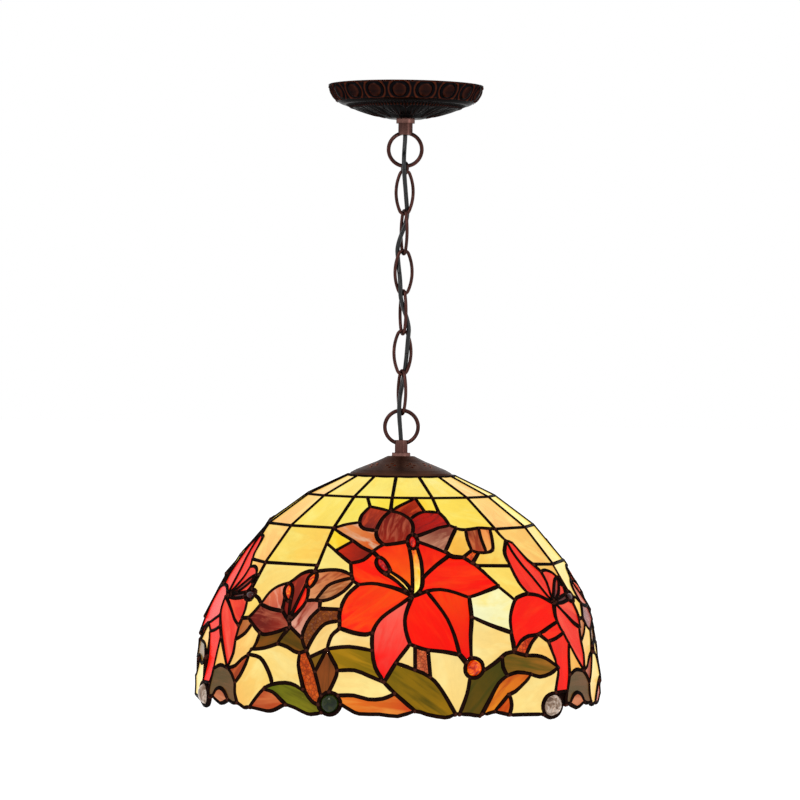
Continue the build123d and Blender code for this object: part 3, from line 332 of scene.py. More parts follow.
# The sheet each pane is cut from: where the pane sits (degrees round the shade, height over the rim in
# millimetres), then its colour at its upper end, at its lower end and in its streaks.
SHEETS = {
    "glass_top_row": [
        (-41, 210, (254, 227, 113), (254, 221, 97), (255, 235, 133)),
        (-17, 210, (254, 231, 105), (254, 235, 115), (255, 219, 85)),
        (7, 210, (254, 233, 119), (254, 227, 97), (255, 217, 77)),
        (32, 210, (254, 229, 97), (254, 221, 89), (255, 237, 133)),
        (55, 210, (254, 209, 113), (252, 191, 97), (255, 227, 133))],
    "glass_grid_panels": [
        (-41, 185, (254, 229, 101), (254, 221, 89), (255, 235, 123)),
        (-41, 150, (254, 221, 97), (253, 203, 85), (255, 231, 119)),
        (-23, 188, (254, 227, 77), (254, 233, 109), (255, 241, 121)),
        (-12, 195, (255, 235, 89), (254, 227, 65), (255, 219, 63)),
        (0, 197, (255, 231, 63), (254, 217, 41), (255, 241, 103)),
        (14, 194, (255, 219, 69), (254, 209, 53), (255, 235, 93)),
        (32, 185, (254, 225, 85), (254, 215, 73), (255, 233, 109)),
        (55, 185, (254, 205, 105), (250, 183, 89), (255, 223, 123))],
    "glass_lower_background": [
        (-25, 157, (255, 222, 48), (254, 204, 40), (255, 236, 90)),
        (-24, 138, (254, 230, 126), (254, 222, 116), (255, 238, 140)),
        (21, 158, (250, 196, 84), (248, 182, 62), (254, 216, 110)),
        (42, 158, (254, 214, 96), (252, 200, 82), (255, 226, 110)),
        (37, 130, (254, 226, 108), (254, 212, 92), (255, 232, 118)),
        (58, 155, (254, 206, 104), (250, 184, 88), (255, 222, 120)),
        (62, 134, (252, 196, 92), (248, 174, 74), (255, 214, 112)),
        (-41, 127, (254, 224, 124), (254, 214, 110), (255, 236, 140)),
        (-49, 94, (254, 214, 104), (252, 196, 88), (255, 228, 120)),
        (-20, 102, (254, 212, 126), (253, 204, 120), (255, 226, 140))],
    "glass_cream_background": [
        # this pane's near-white colours are a painted reflection of a lamp on the glass
        (28, 100, (255, 246, 176), (250, 250, 200), (255, 232, 128)),
        (27, 70, (254, 222, 136), (254, 214, 122), (255, 232, 150)),
        (13, 40, (254, 224, 142), (254, 216, 126), (255, 232, 152)),
        (2.5, 52, (254, 218, 132), (253, 206, 118), (255, 230, 150)),
        (-10, 27, (254, 222, 134), (255, 232, 148), (253, 208, 122)),
        (-13, 70, (254, 216, 136), (254, 210, 122), (255, 228, 150)),
        (-22, 70, (253, 210, 124), (253, 204, 118), (255, 226, 146)),
        (-34, 45, (254, 222, 128), (254, 212, 118), (255, 232, 148)),
        (-45, 25, (254, 216, 116), (252, 196, 100), (255, 230, 140)),
        (-49, 60, (253, 206, 112), (250, 190, 100), (255, 222, 130)),
        (60, 45, (253, 192, 92), (250, 174, 72), (254, 208, 110)),
        (43, 62, (253, 204, 110), (252, 192, 96), (255, 220, 126)),
        (39, 15, (254, 216, 128), (254, 222, 134), (255, 232, 148))],
    "glass_brown_flower": [
        (-14, 181, (168, 42, 8), (112, 18, 6), (196, 60, 20)),
        (-2, 172, (118, 22, 12), (148, 30, 8), (186, 88, 60)),
        (4, 191, (176, 44, 10), (120, 18, 4), (206, 70, 24)),
        (13, 179, (192, 20, 4), (150, 8, 4), (122, 14, 12)),
        (14, 163, (124, 44, 32), (176, 110, 84), (196, 134, 104)),
        (-17, 165, (232, 150, 84), (214, 84, 14), (226, 176, 140)),
        (-16, 148, (206, 38, 4), (110, 22, 8), (168, 28, 6))],
    "glass_bud": [
        (31, 162, (132, 50, 22), (176, 60, 22), (206, 110, 60)),
        (37.5, 163, (244, 150, 76), (250, 170, 84), (196, 90, 40))],
    "glass_front_lily": [
        (0, 145, (250, 40, 6), (255, 104, 8), (255, 64, 4)),
        (-12, 131, (255, 30, 2), (252, 16, 0), (255, 86, 6)),
        (11, 147, (250, 24, 2), (255, 60, 6), (228, 10, 2)),
        (20, 130, (255, 34, 4), (252, 14, 0), (255, 58, 6)),
        (-10, 100, (255, 62, 4), (255, 30, 6), (255, 84, 4)),
        # this petal's pink-white upper end is a painted highlight, a reflection of a lamp on the glass
        (-3, 70, (255, 104, 88), (250, 8, 8), (255, 30, 20)),
        (9, 85, (255, 26, 2), (252, 10, 0), (255, 46, 4)),
        (19, 95, (255, 62, 2), (240, 6, 2), (255, 24, 0))],
    "glass_stamens": [
        # the bright yellow-white lower ends of these two are partly the stamens' own yellow glass and partly
        # a painted hot spot of the bulb behind them
        (0, 123, (230, 84, 2), (255, 240, 110), (255, 176, 10)),
        (5.9, 140, (216, 40, 4), (255, 240, 110), (255, 180, 10)),
        (-30.3, 105, (200, 16, 6), (228, 20, 6), (246, 60, 20)),
        (-35.6, 98, (104, 16, 6), (86, 10, 4), (150, 30, 12)),
        (60, 114.5, (112, 20, 12), (70, 14, 10), (180, 40, 16)),
        (60, 103, (70, 18, 12), (50, 14, 10), (110, 30, 18))],
    "glass_small_flower": [
        (-25, 122, (196, 92, 36), (226, 152, 100), (140, 44, 16)),
        (-20, 115, (176, 84, 30), (150, 96, 60), (220, 150, 96)),
        (-33.5, 115, (150, 36, 18), (110, 24, 10), (196, 60, 30)),
        (-41, 105, (226, 110, 70), (196, 84, 62), (240, 160, 130)),
        (-41, 83, (96, 18, 10), (150, 40, 22), (176, 88, 62)),
        (-28, 92, (190, 96, 70), (226, 160, 136), (150, 40, 18))],
    "glass_side_lily": [
        (45, 130, (250, 36, 8), (255, 46, 20), (228, 14, 6)),
        (52, 130, (250, 40, 12), (255, 54, 28), (232, 20, 8)),
        (60, 124, (248, 50, 24), (236, 30, 14), (255, 84, 50)),
        (62.5, 111, (240, 52, 26), (226, 34, 14), (255, 84, 50)),
        (63.5, 92, (246, 56, 26), (226, 30, 10), (255, 90, 50)),
        (43, 95, (255, 24, 2), (252, 14, 0), (255, 46, 6)),
        (51, 76, (255, 32, 6), (250, 20, 2), (255, 60, 16)),
        (52.5, 50, (252, 44, 22), (255, 24, 8), (232, 20, 8)),
        (60, 75, (250, 56, 34), (240, 34, 16), (255, 92, 66))],
    "glass_leaves": [
        (5, 20, (128, 100, 2), (150, 108, 2), (78, 68, 0)),
        (-12, 52, (158, 118, 2), (122, 98, 0), (178, 130, 12)),
        (-23, 50, (120, 92, 16), (128, 86, 14), (92, 76, 6)),
        (-20, 38, (116, 58, 20), (150, 76, 26), (86, 50, 14)),
        (-39, 66, (104, 66, 6), (134, 74, 8), (82, 62, 4)),
        (-32, 66, (98, 70, 6), (136, 76, 10), (76, 58, 4)),
        (-29, 12, (96, 104, 6), (134, 124, 18), (70, 66, 0)),
        (40, 45, (124, 88, 14), (158, 100, 26), (86, 76, 8)),
        (24, 25, (70, 64, 2), (96, 72, 4), (56, 60, 4)),
        (57, 22, (98, 70, 24), (112, 72, 34), (76, 62, 14))],
    "glass_stems": [
        (6.5, 52, (202, 84, 40), (194, 92, 56), (230, 124, 72)),
        (-26, 40, (190, 62, 6), (206, 84, 20), (230, 110, 30)),
        (28, 147, (240, 84, 16), (246, 70, 6), (255, 140, 50)),
        (39, 65, (206, 50, 8), (226, 66, 16), (240, 110, 40)),
        (-25.5, 85, (124, 56, 12), (112, 60, 14), (160, 84, 24))],
    "glass_amber_rim": [
        (-5, 8, (232, 120, 28), (206, 70, 22), (240, 150, 60)),
        (-39, 8, (190, 76, 28), (170, 58, 20), (214, 112, 60)),
        (-50, 37, (176, 66, 16), (150, 50, 12), (214, 100, 40)),
        (-51.5, 75, (190, 110, 50), (170, 84, 34), (220, 140, 80)),
        (30, 22, (212, 96, 20), (238, 140, 26), (180, 60, 10)),
        (30.7, 8, (206, 76, 4), (190, 56, 2), (236, 120, 30)),
        (60, 7, (190, 100, 50), (176, 84, 40), (214, 130, 84))],
}

looks = {
    "bronze": metal("antique_bronze", (6, 6, 9), (13, 11, 13), (126, 58, 30), 0.3, worn=0.75),
    "cap_bronze": metal("cap_bronze", (46, 25, 18), (70, 42, 31), (104, 66, 48), 0.36, 45.0, worn=0.35,
                        tint=0.5, lit_inside=(255, 116, 34)),
    "chain_bronze": metal("chain_bronze", (32, 17, 15), (66, 37, 33), (160, 116, 106), 0.25, tint=0.55),
    "lead": metal("lead_came", (13, 6, 5), (30, 14, 10), (84, 44, 34), 0.45, 120.0, 0.5),
    "zinc_steel": matter("zinc_steel", (150, 150, 146), (190, 190, 184), metallic=0.9, rough=0.35),
    "brass": matter("brass", (150, 108, 46), (206, 164, 88), metallic=0.95, rough=0.3),
    "card": matter("card_sleeve", (120, 92, 62), (156, 126, 90), rough=0.8),
    "porcelain": matter("porcelain", (226, 222, 212), (240, 238, 230), 30.0, 0.2),
    "connector_plastic": matter("connector_plastic", (206, 96, 18), (230, 124, 34), rough=0.45),
    "tin_solder": matter("tin_solder", (150, 150, 152), (196, 196, 198), metallic=0.9, rough=0.35),
    "wire_cover": matter("wire_cover", (190, 186, 170), (220, 216, 200), rough=0.6),
}


def frosted_bulb():
    g = Graph("frosted_bulb")
    at = g.add("ShaderNodeTexCoord").outputs["Object"]
    grain = g.noise(at, 400.0)
    tint = g.ramp(grain, [(0.0, (255, 226, 170)), (1.0, (255, 240, 205))])
    face = g.add("ShaderNodeBsdfPrincipled", Base_Color=tint, Roughness=0.4, Emission_Color=tint,
                 Emission_Strength=5.0)
    g.set(g.out.inputs["Surface"], face.outputs[0])
    return g.mat


looks["bulb_glass"] = frosted_bulb()
slot_of = {part["node"]: part["material_slot"] for part in frame["record"]["subparts"]}
look_of = {node: looks[slot] for node, slot in slot_of.items() if slot in looks and node in nodes}
look_of["canopy_loop"] = look_of["shade_loop"] = looks["chain_bronze"]
for node, look in look_of.items():
    nodes[node].data.materials.clear()
    nodes[node].data.materials.append(look)


# ---- the shade's glass and lead work ------------------------------------------------------------
REPEAT = 120              # degrees: the pattern is there three times
RIM_DEPTH = 610           # millimetres from the ceiling down to the shade's rim
MM_PER_DEGREE = 3         # along the shade's side, on average
GLASS_THICK = 0.003
LEAD_OUT = 0.00155        # from a pane's edge to the middle of the lead
LEAD_BEAD = 0.00222       # half the width of the rounded solder over a lead line
LEAD_RISE = 0.0028
CORNER = 0.5              # a pane's outline turning more than this, in radians, is a corner
DROP_WIDTHS = (1.02, 1.2)             # a drop of solder at a corner, against the bead
DROP_RISE = 1.06
MITRE_LEAST, MITRE_MOST = 0.35, 2.2   # these keep a sharp corner of a widened outline short
PANE_LEAST = 0.0003       # the shortest side that a pane's outline keeps
GRAIN_SHIFT = (0.71, 0.37)            # from one pane's place in its sheet of glass to the next one's


def pane_outlines(obj):
    """Each pane of a glass node: (plane normal, middle, outline of its inner face in order)."""
    bm = bmesh.new()
    bm.from_mesh(obj.data)
    bmesh.ops.remove_doubles(bm, verts=bm.verts, dist=1e-6)
    seen = set()
    for seed in bm.faces:
        if seed in seen:
            continue
        island, todo = [], [seed]
        seen.add(seed)
        while todo:
            face = todo.pop()
            island.append(face)
            for edge in face.edges:
                for other in edge.link_faces:
                    if other not in seen:
                        seen.add(other)
                        todo.append(other)
        middle = sum((f.calc_center_median() * f.calc_area() for f in island), Vector())
        middle /= sum(f.calc_area() for f in island)
        outward = Vector((middle.x, middle.y, 0.0)).normalized() + Vector((0, 0, 0.3))
        # the biggest flat face that looks inward gives the pane's plane
        groups = {}
        for f in island:
            if f.normal.dot(outward) < 0:
                key = tuple(round(c, 2) for c in f.normal)
                groups.setdefault(key, []).append(f)
        flat = max(groups.values(), key=lambda fs: sum(f.calc_area() for f in fs))
        normal = -sum((f.normal * f.calc_area() for f in flat), Vector()).normalized()
        inside = set(flat)
        follow = {}
        for f in flat:
            for loop in f.loops:
                edge = loop.edge
                if sum(1 for o in edge.link_faces if o in inside) == 1:
                    follow[loop.vert] = loop.link_loop_next.vert
        start = next(iter(follow))
        ring, vert = [], start
        while True:
            ring.append(vert.co.copy())
            vert = follow.get(vert)
            if vert is None or vert == start or len(ring) > len(follow):
                break
        yield normal, middle, ring
    bm.free()


def grown(ring, normal, amount):
    """The outline moved outward in its own plane."""
    out = []
    count = len(ring)
    centre = sum(ring, Vector()) / count
    area = Vector()
    for a, b in zip(ring, ring[1:] + ring[:1]):
        area += (a - centre).cross(b - centre)
    side = 1.0 if area.dot(normal) > 0 else -1.0
    for i, p in enumerate(ring):
        before = (p - ring[i - 1]).normalized()
        after = (ring[(i + 1) % count] - p).normalized()
        n1 = before.cross(normal) * side
        n2 = after.cross(normal) * side
        bisect = n1 + n2
        if bisect.length < 1e-6:
            bisect = n1
        bisect.normalize()
        stretch = min(1.0 / max(bisect.dot(n1), MITRE_LEAST), MITRE_MOST)
        out.append(p + bisect * amount * stretch)
    return out


def tube(points, normal, width, height, sides=8):
    """A closed tube with an oval section along points that lie near a plane."""
    verts, faces = [], []
    count = len(points)
    for i, p in enumerate(points):
        along = points[(i + 1) % count] - points[i - 1]
        if along.length < 1e-7:
            along = points[(i + 1) % count] - p
        across = along.normalized().cross(normal).normalized()
        for k in range(sides):
            a = 2 * math.pi * k / sides
            verts.append(p + across * (width * math.cos(a)) + normal * (height * math.sin(a)))
    for i in range(count):
        j = (i + 1) % count
        for k in range(sides):
            m = (k + 1) % sides
            faces.append((i * sides + k, i * sides + m, j * sides + m, j * sides + k))
    return verts, faces


def solder_blob(centre, normal, size, height, sides=10, rows=4):
    """The flattened drop of solder where lead lines meet."""
    across = normal.orthogonal().normalized()
    other = normal.cross(across)
    verts, faces = [centre + normal * height], []
    for row in range(1, rows):
        a = math.pi * row / rows
        for k in range(sides):
            b = 2 * math.pi * k / sides
            flat = (across * math.cos(b) + other * math.sin(b)) * (size * math.sin(a))
            verts.append(centre + flat + normal * (height * math.cos(a)))
    verts.append(centre - normal * height)
    last = len(verts) - 1
    for k in range(sides):
        m = (k + 1) % sides
        faces.append((0, 1 + k, 1 + m))
        for row in range(rows - 2):
            low = 1 + row * sides
            faces.append((low + k, low + sides + k, low + sides + m, low + m))
        faces.append((last, last - sides + m, last - sides + k))
    return verts, faces


def tidy_ring(ring, least=0.0008):
    """The outline without points that almost touch."""
    kept = []
    for p in ring:
        if not kept or (p - kept[-1]).length > least:
            kept.append(p)
    while len(kept) > 3 and (kept[0] - kept[-1]).length < least:
        kept.pop()
    return kept


def shade_place(p):
    """Degrees round the shade from its front, and millimetres over its rim."""
    return math.degrees(math.atan2(p.x, -p.y)), p.z * 1000 + RIM_DEPTH


def nearest(choices, p):
    """The choice, starting with its angle and height, that lies nearest on a shade of three repeats."""
    angle, height = shade_place(p)
    half = REPEAT / 2

    def distance(choice):
        turn = (angle - choice[0] + half) % REPEAT - half
        return math.hypot(turn * MM_PER_DEGREE, height - choice[1])

    return min(choices, key=distance)


def pane_mesh(name, panes, sheets):
    """Every pane of a node as one welded solid each, with its sheet's colours and its own grain."""
    bm = bmesh.new()
    grain = bm.loops.layers.uv.new("sheet")
    span = bm.loops.layers.uv.new("span")
    tints = [bm.loops.layers.float_color.new(f"tint_{part}") for part in ("top", "low", "streak")]
    for number, (normal, middle, ring) in enumerate(panes):
        sheet = nearest(sheets, middle)
        colors = [rgb(c) for c in sheet[2:]]
        flat = np.array([p - middle for p in ring])
        _, _, axes = np.linalg.svd(flat - flat.mean(axis=0), full_matrices=False)
        long = Vector(axes[0])
        if long.z > 0 or (abs(long.z) < 0.25 and long.x < 0):
            long = -long
        side = normal.cross(long).normalized()
        reach = [(p - middle).dot(long) for p in ring]
        start, size = min(reach), max(max(reach) - min(reach), 1e-4)
        inner = [bm.verts.new(p) for p in ring]
        outer = [bm.verts.new(p + normal * GLASS_THICK) for p in ring]
        count = len(ring)
        faces = [bm.faces.new(outer), bm.faces.new(inner[::-1])]
        faces += [bm.faces.new((inner[i], inner[(i + 1) % count], outer[(i + 1) % count], outer[i]))
                  for i in range(count)]
        for face in faces:
            for loop in face.loops:
                off = loop.vert.co - middle
                u, v = off.dot(long), off.dot(side)
                loop[grain].uv = (u + number * GRAIN_SHIFT[0], v + number * GRAIN_SHIFT[1])
                loop[span].uv = ((u - start) / size, v / size)
                for layer, color in zip(tints, colors):
                    loop[layer] = color
    bmesh.ops.recalc_face_normals(bm, faces=bm.faces)
    mesh = bpy.data.meshes.new(name)
    bm.to_mesh(mesh)
    bm.free()
    return add_object(name, mesh)


bead_verts, bead_faces = [], []
jewel_panes = []


def add_bead(verts, faces):
    base = len(bead_verts)
    bead_verts.extend(verts)
    bead_faces.extend(tuple(base + i for i in face) for face in faces)


for node in [n for n in nodes if n.startswith("glass_")]:
    panes = list(pane_outlines(nodes[node]))
    if node in SHEETS:
        outlines = [(n, m, tidy_ring(r, PANE_LEAST)) for n, m, r in panes]
        cut = pane_mesh(node.replace("glass_", "panes_"), outlines, SHEETS[node])
        cut.data.materials.append(GLASS_LOOKS[node])
        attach(cut, "shade")
        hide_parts(node)
    for normal, middle, ring in panes:
        ring = [p + normal * (GLASS_THICK / 2) for p in tidy_ring(ring)]
        if node == "glass_jewels":
            jewel_panes.append((normal, ring))
        line = grown(ring, normal, LEAD_OUT)
        add_bead(*tube(line, normal, LEAD_BEAD, LEAD_RISE))
        for i, p in enumerate(line):
            before, after = ring[i] - ring[i - 1], ring[(i + 1) % len(ring)] - ring[i]
            if before.angle(after) > CORNER:
                width = random.uniform(*DROP_WIDTHS) * LEAD_BEAD
                add_bead(*solder_blob(p, normal, width, LEAD_RISE * DROP_RISE))

# two cells of each repeat hold no glass: the solder fills them (degrees, height, radius of the shade)
SOLDER_POOLS = [
    [(65.0, 124.5, 168), (64.0, 118, 172), (65.9, 115, 173.5), (64.6, 108, 178), (67.0, 111, 176.5),
     (67.0, 124, 168.5)],
    [(48.8, 17.3, 199.5), (51.3, 13.5, 199.5), (52.2, 8, 199.3), (52.3, 5, 199.2), (54, 4.5, 199.2),
     (53.7, 10, 199.3), (54.3, 17.5, 199.5)],
]
POOL_FACES = (0.001, -0.004)          # how far the solder's outer and inner face stand out there
for turn in range(0, 360, REPEAT):
    for pool in SOLDER_POOLS:
        for lift in POOL_FACES:
            base = len(bead_verts)
            for angle, height, radius in pool:
                a = math.radians(angle + turn)
                r = radius / 1000 + lift
                bead_verts.append(Vector((r * math.sin(a), -r * math.cos(a), (height - RIM_DEPTH) / 1000)))
            corners = tuple(range(base, base + len(pool)))
            bead_faces.append(corners if lift < 0 else corners[::-1])

# the ring of solder where the glass meets the vase cap
COLLAR_R = 0.0523
COLLAR_Z = -0.3912
COLLAR_SIDES = 96
COLLAR_BEAD, COLLAR_RISE = 0.0026, 0.0024
turns = [2 * math.pi * k / COLLAR_SIDES for k in range(COLLAR_SIDES)]
collar = [Vector((COLLAR_R * math.cos(a), COLLAR_R * math.sin(a), COLLAR_Z)) for a in turns]
add_bead(*tube(collar, Vector((0, 0, 1)), COLLAR_BEAD, COLLAR_RISE))
lead = add_mesh("lead_beads", bead_verts, bead_faces)
lead.data.materials.append(looks["lead"])
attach(lead, "shade")
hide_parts("shade_lead")


# ---- jewels: round-topped cabochons -------------------------------------------------------------
DOMES = ((1, 0.62), (-1, 0.15))       # the outer and the inner side: (direction, height to mean radius)
DOME_ROWS = 6


def cabochons(panes):
    """One mesh of a dome on each side of every jewel's outline."""
    verts, faces = [], []
    for normal, ring in panes:
        centre = sum(ring, Vector()) / len(ring)
        size = sum((p - centre).length for p in ring) / len(ring)
        n = len(ring)
        for half, side in DOMES:
            rise = half * side * size
            base = len(verts)
            for row in range(DOME_ROWS):
                a = math.pi / 2 * row / DOME_ROWS
                for p in ring:
                    verts.append(centre + (p - centre) * math.cos(a) + normal * (rise * math.sin(a)))
            verts.append(centre + normal * rise)
            top = len(verts) - 1
            for row in range(DOME_ROWS):
                low, high = base + row * n, base + (row + 1) * n
                for i in range(n):
                    j = (i + 1) % n
                    face = (low + i, low + j, top)
                    if row < DOME_ROWS - 1:
                        face = (low + i, low + j, high + j, high + i)
                    faces.append(face if half > 0 else face[::-1])
    return verts, faces


def jewel_glass(name, stops, glow):
    """Moulded glass, its colour ramped by a noise from dark to bright patches; the bright ones are a painted
    hot spot where the bulb shows through.
    """
    g = Graph(name)
    at = g.add("ShaderNodeTexCoord").outputs["Object"]
    cloud = g.noise(at, 130.0, 3.0, 0.6, 1.5)
    color = g.ramp(cloud, stops)
    lump = g.add("ShaderNodeBump", Strength=0.1, Distance=0.001, Height=cloud)
    face = g.add("ShaderNodeBsdfPrincipled", Base_Color=g.mix(GLASS_BODY, rgb(0), color), Roughness=0.08,
                 Normal=lump.outputs[0], Emission_Color=color, Emission_Strength=glow)
    face.inputs["Specular IOR Level"].default_value = 0.25
    g.set(g.out.inputs["Surface"], face.outputs[0])
    return g.mat


# in each ramp the brightest stops are painted highlights: the bulb's hot spot and glints on the moulded glass
JEWELS = {
    "red": jewel_glass("jewel_red", [(0.3, (90, 0, 0)), (0.5, (196, 2, 2)), (0.64, (226, 20, 4)),
                                     (0.8, (255, 170, 60))], 0.85),
    "amber": jewel_glass("jewel_amber", [(0.3, (130, 20, 0)), (0.46, (214, 50, 2)), (0.6, (244, 96, 0)),
                                         (0.74, (255, 200, 40))], 0.9),
    "green": jewel_glass("jewel_green", [(0.3, (2, 10, 0)), (0.5, (16, 34, 2)), (0.66, (50, 52, 8)),
                                         (0.8, (110, 120, 40))], 0.8),
    "clear": jewel_glass("jewel_clear", [(0.3, (84, 60, 46)), (0.48, (150, 122, 100)),
                                         (0.62, (206, 190, 176)), (0.78, (240, 150, 60))], 0.75),
    "knob": jewel_glass("jewel_dark", [(0.3, (22, 2, 2)), (0.6, (66, 8, 8)), (0.85, (130, 24, 14))], 0.8),
}
# where each kind sits: (degrees round the shade, height over the rim in millimetres)
KINDS = [(5, 160, "red"), (-5.7, 139, "red"), (21.3, 44.5, "amber"), (-18.8, 10, "green"),
         (-29.4, 123, "amber"), (-36.8, 111, "amber"), (-53, 105.5, "knob"), (48, 6, "clear")]
sorted_jewels = {}
for normal, ring in jewel_panes:
    kind = nearest(KINDS, sum(ring, Vector()) / len(ring))[2]
    sorted_jewels.setdefault(kind, []).append((normal, ring))
for kind, panes in sorted_jewels.items():
    gem = add_mesh(f"jewels_{kind}", *cabochons(panes))
    gem.data.materials.append(JEWELS[kind])
    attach(gem, "shade")
    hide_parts("glass_jewels")


# ---- canopy: eggs in arches round the edge, leaves over the cone --------------------------------
# its outline from the ceiling to the loop: (radius, height) in millimetres
CANOPY = [(77.5, -0.2), (77.5, -1.4), (75.4, -4.5), (73.8, -7.5), (72.3, -10.0), (70.6, -13.5),
          (69.0, -16.4), (66.0, -18.4), (63.5, -19.6), (60.0, -20.2), (57.5, -20.8), (55.6, -22.4),
          (53.4, -23.2), (49.0, -24.3), (44.0, -25.6), (39.0, -27.0), (33.5, -28.6), (27.5, -30.2),
          (23.5, -31.6), (20.5, -32.7), (17.2, -33.5), (12.0, -33.5), (5.2, -33.5)]
CANOPY_SIDES = 432
CANOPY_STEP = 0.75        # millimetres between its rows
EGGS = 18
LEAVES = 12
BEADS = 108               # in the ring between the eggs and the leaves
EGG_TOP, EGG_MIDDLE, EGG_FOOT = -2.0, -9.2, -16.5
EGG_HALF_HEIGHT = 6.6
EGG_HALF_WIDTH = 0.56     # of its share of the way round
LEAF_OUT, LEAF_IN = 53.5, 20.5
BEAD_OUT, BEAD_IN = 59.5, 54.0


def canopy_mesh():
    around = CANOPY_SIDES
    rows = []
    for (r1, z1), (r2, z2) in zip(CANOPY, CANOPY[1:]):
        steps = max(1, int(math.hypot(r2 - r1, z2 - z1) / CANOPY_STEP))
        rows += [(r1 + (r2 - r1) * s / steps, z1 + (z2 - z1) * s / steps) for s in range(steps)]
    rows.append(CANOPY[-1])
    verts, faces = [], []
    for index, (r, z) in enumerate(rows):
        (ra, za), (rb, zb) = rows[max(index - 1, 0)], rows[min(index + 1, len(rows) - 1)]
        slope = math.hypot(rb - ra, zb - za)
        out_r, out_z = (za - zb) / slope, (rb - ra) / slope
        for k in range(around):
            a = 2 * math.pi * k / around
            lift = relief(a, r, z)
            rr, zz = r + out_r * lift, z + out_z * lift
            verts.append((rr * math.cos(a) / 1000, rr * math.sin(a) / 1000, zz / 1000))
    for row in range(len(rows) - 1):
        for k in range(around):
            m = (k + 1) % around
            faces.append((row * around + k, (row + 1) * around + k, (row + 1) * around + m, row * around + m))
    return verts, faces


def relief(angle, r, z):
    """How far the ornament stands out of the plain canopy there, in millimetres."""
    lift = 0.0
    if EGG_FOOT < z < EGG_TOP:
        # an egg, a groove and an arch round it, by the distance d from the egg's middle
        u = ((angle / (2 * math.pi) * EGGS + 0.25) % 1.0) * 2 - 1
        v = (z - EGG_MIDDLE) / EGG_HALF_HEIGHT
        d = math.hypot(u / EGG_HALF_WIDTH, v)
        if d < 1:
            lift += 2.6 * math.sqrt(1 - d * d)
        elif d < 1.35:
            lift -= 0.9 * math.sin((d - 1) / 0.35 * math.pi)
        elif d < 1.75:
            lift += 1.0 * math.sin((d - 1.35) / 0.4 * math.pi)
    if LEAF_IN < r < LEAF_OUT:
        # t goes from a leaf's base to its tip, side from its middle rib to its edge
        t = (LEAF_OUT - r) / (LEAF_OUT - LEAF_IN)
        u = ((angle / (2 * math.pi) * LEAVES) % 1.0) * 2 - 1
        wide = 0.92 * math.sin(math.pi * min(1.0, 0.18 + t * 0.95)) ** 0.6
        side = abs(u) / max(wide, 0.05)
        if side < 1:
            lift += 1.5 * (1 - side ** 2) * math.sin(math.pi * t) ** 0.5
            lift += 0.55 * math.cos(side * 3.5 * math.pi) * (1 - side) * math.sin(math.pi * t)
            lift -= 0.7 * max(0.0, 1 - side / 0.1) * math.sin(math.pi * t)
        w = ((angle / (2 * math.pi) * LEAVES + 0.5) % 1.0) * 2 - 1
        tip = abs(w) / max(0.5 * (1 - t), 0.03)
        if side >= 1 and tip < 1:
            lift += 0.8 * (1 - tip ** 2) * (1 - t)
    if BEAD_IN < r < BEAD_OUT:
        lift += 0.6 * abs(math.sin(angle * BEADS / 2))
    return lift


canopy = add_mesh("canopy_relief", *canopy_mesh())
canopy.data.materials.append(looks["bronze"])
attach(canopy, "ceiling")
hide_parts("canopy")

# ---- cable --------------------------------------------------------------------------------------
# the route's points in millimetres, as the solid cable has them
ROUTE = [(0, 0, -17), (0, 0, -50), (-0.8, -1.9, -64), (-1.2, -6.4, -73.5), (-0.8, -8.1, -87.5),
         (2.4, 3.8, -119.8), (3.2, 5.2, -133.8), (-6.9, 3, -159.8), (-5.8, 4.2, -173.8),
         (-2.6, -3.9, -199.8), (-3, -5.1, -213.8), (6.6, -3.2, -239.8), (5.3, -4, -253.8),
         (3.4, 5.8, -279.9), (1.1, 3.5, -293.9), (-3.5, -6.3, -319.9), (0, 0, -356), (0.2, 0.1, -374),
         (0, 0, -418)]
CABLE_R = 0.0022
BEND_HALF = 0.012         # each side of a joint, the span that is worked out for each cable piece runs this far at most; nothing uses it


def spline_points(route):
    """The points of the route's line, an order 3 NURBS."""
    curve = bpy.data.curves.new("cable_line", "CURVE")
    curve.dimensions = "3D"
    spline = curve.splines.new("NURBS")
    spline.points.add(len(route) - 1)
    for point, (x, y, z) in zip(spline.points, route):
        point.co = (x / 1000, y / 1000, z / 1000, 1)
    spline.order_u = 3
    spline.use_endpoint_u = True
    spline.resolution_u = 24
    obj = add_object("cable_line", curve)
    bpy.context.view_layer.update()
    mesh = bpy.data.meshes.new_from_object(obj)
    points = [v.co.copy() for v in mesh.vertices]
    bpy.data.objects.remove(obj)
    return points


def cable_material():
    """A round cable with a glossy black jacket that shows faintly how its cores lie twisted inside."""
    g = Graph("black_cable")
    uv = g.add("ShaderNodeTexCoord").outputs["UV"]
    split = g.add("ShaderNodeSeparateXYZ", Vector=uv)
    lay = g.math("ADD", g.math("MULTIPLY", split.outputs[0], 4 * math.pi),
                 g.math("MULTIPLY", split.outputs[1], 260.0))
    twist = g.math("ADD", g.math("MULTIPLY", g.math("SINE", lay), 0.5), 0.5)
    scuff = g.noise(g.add("ShaderNodeTexCoord").outputs["Object"], 900.0, 4.0, 0.65)
    tone = g.mix(scuff, rgb((1, 2, 2)), rgb((8, 11, 14)))
    lump = g.add("ShaderNodeBump", Strength=0.55, Distance=0.0006, Height=g.mix(0.12, twist, scuff))
    face = g.add("ShaderNodeBsdfPrincipled", Base_Color=tone, Normal=lump.outputs[0],
                 Roughness=g.math("ADD", g.math("MULTIPLY", scuff, 0.18), 0.18))
    face.inputs["Specular IOR Level"].default_value = 0.38
    g.set(g.out.inputs["Surface"], face.outputs[0])
    return g.mat


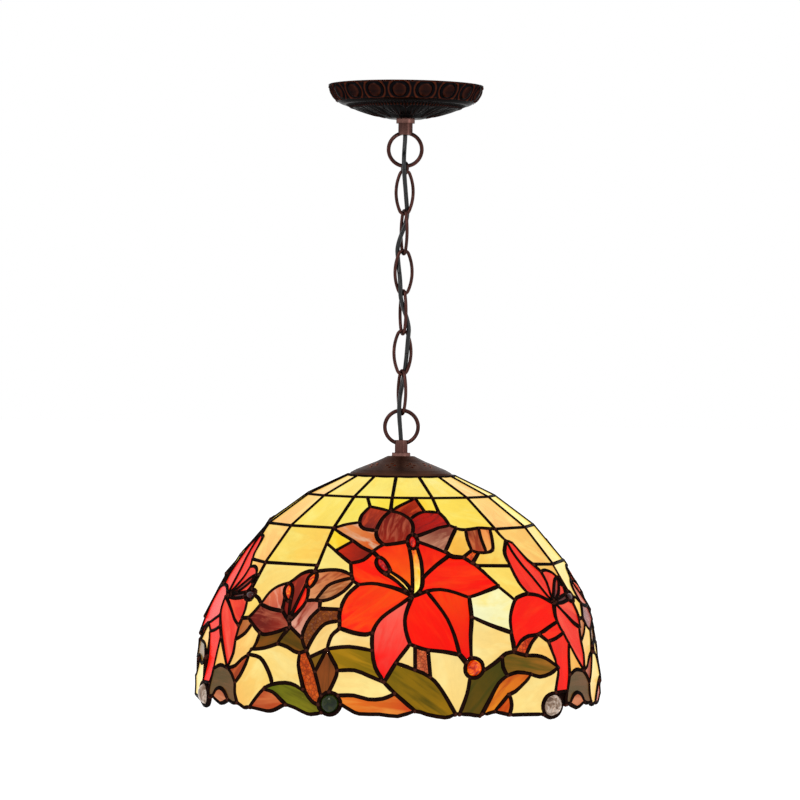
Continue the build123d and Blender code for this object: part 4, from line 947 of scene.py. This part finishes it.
def cable_piece(name, points, lengths, sides=20):
    """A closed round tube along the points. Its UV map goes round it, and along it in metres."""
    verts, faces, uvs = [], [], []
    side = Vector((1, 0, 0))
    for i, p in enumerate(points):
        along = (points[min(i + 1, len(points) - 1)] - points[max(i - 1, 0)]).normalized()
        side = (side - along * side.dot(along)).normalized()
        other = along.cross(side)
        for k in range(sides):
            a = 2 * math.pi * k / sides
            verts.append(p + (side * math.cos(a) + other * math.sin(a)) * CABLE_R)
    for i in range(len(points) - 1):
        for k in range(sides):
            m = (k + 1) % sides
            faces.append((i * sides + k, i * sides + m, (i + 1) * sides + m, (i + 1) * sides + k))
            uvs += [(k / sides, lengths[i]), ((k + 1) / sides, lengths[i]), ((k + 1) / sides, lengths[i + 1]),
                    (k / sides, lengths[i + 1])]
    faces.append(tuple(range(sides))[::-1])
    uvs += [(0, 0)] * sides
    base = (len(points) - 1) * sides
    faces.append(tuple(base + k for k in range(sides)))
    uvs += [(0, 0)] * sides
    return add_mesh(name, verts, faces, uvs=uvs)


line = spline_points(ROUTE)
lengths = [0.0]
for a, b in zip(line, line[1:]):
    lengths.append(lengths[-1] + (b - a).length)
cord_look = cable_material()
# one piece to each joint, cut halfway between two joints
pivots = [(j["parent"], j["child"], j["pos_m"][2]) for j in frame["joints"]]
between = [(z1 + z2) / 2 for (_, _, z1), (_, _, z2) in zip(pivots, pivots[1:])]
cuts = [line[0].z, *between, line[-1].z]
for number, ((parent, child, z), high, low) in enumerate(zip(pivots, cuts, cuts[1:]), 1):
    picked = [i for i, p in enumerate(line) if low <= p.z <= high]
    first, last = max(picked[0] - 1, 0), picked[-1]
    piece = cable_piece(f"cable_{number}", line[first:last + 1], lengths[first:last + 1])
    piece.data.materials.append(cord_look)
    half = min(BEND_HALF, 0.45 * (high - low))
    min(z + half, high)
    max(z - half, low)
    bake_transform(piece)
    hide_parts("pendant_cable")

# ---- the light ----------------------------------------------------------------------------------
BULB_Z = -0.56
lamp = bpy.data.lights.new("bulb_light", "POINT")
lamp.energy = 6
lamp.color = (1.0, 0.82, 0.55)
lamp.shadow_soft_size = 0.028
add_object("bulb_light", lamp).location = (0, 0, BULB_Z)
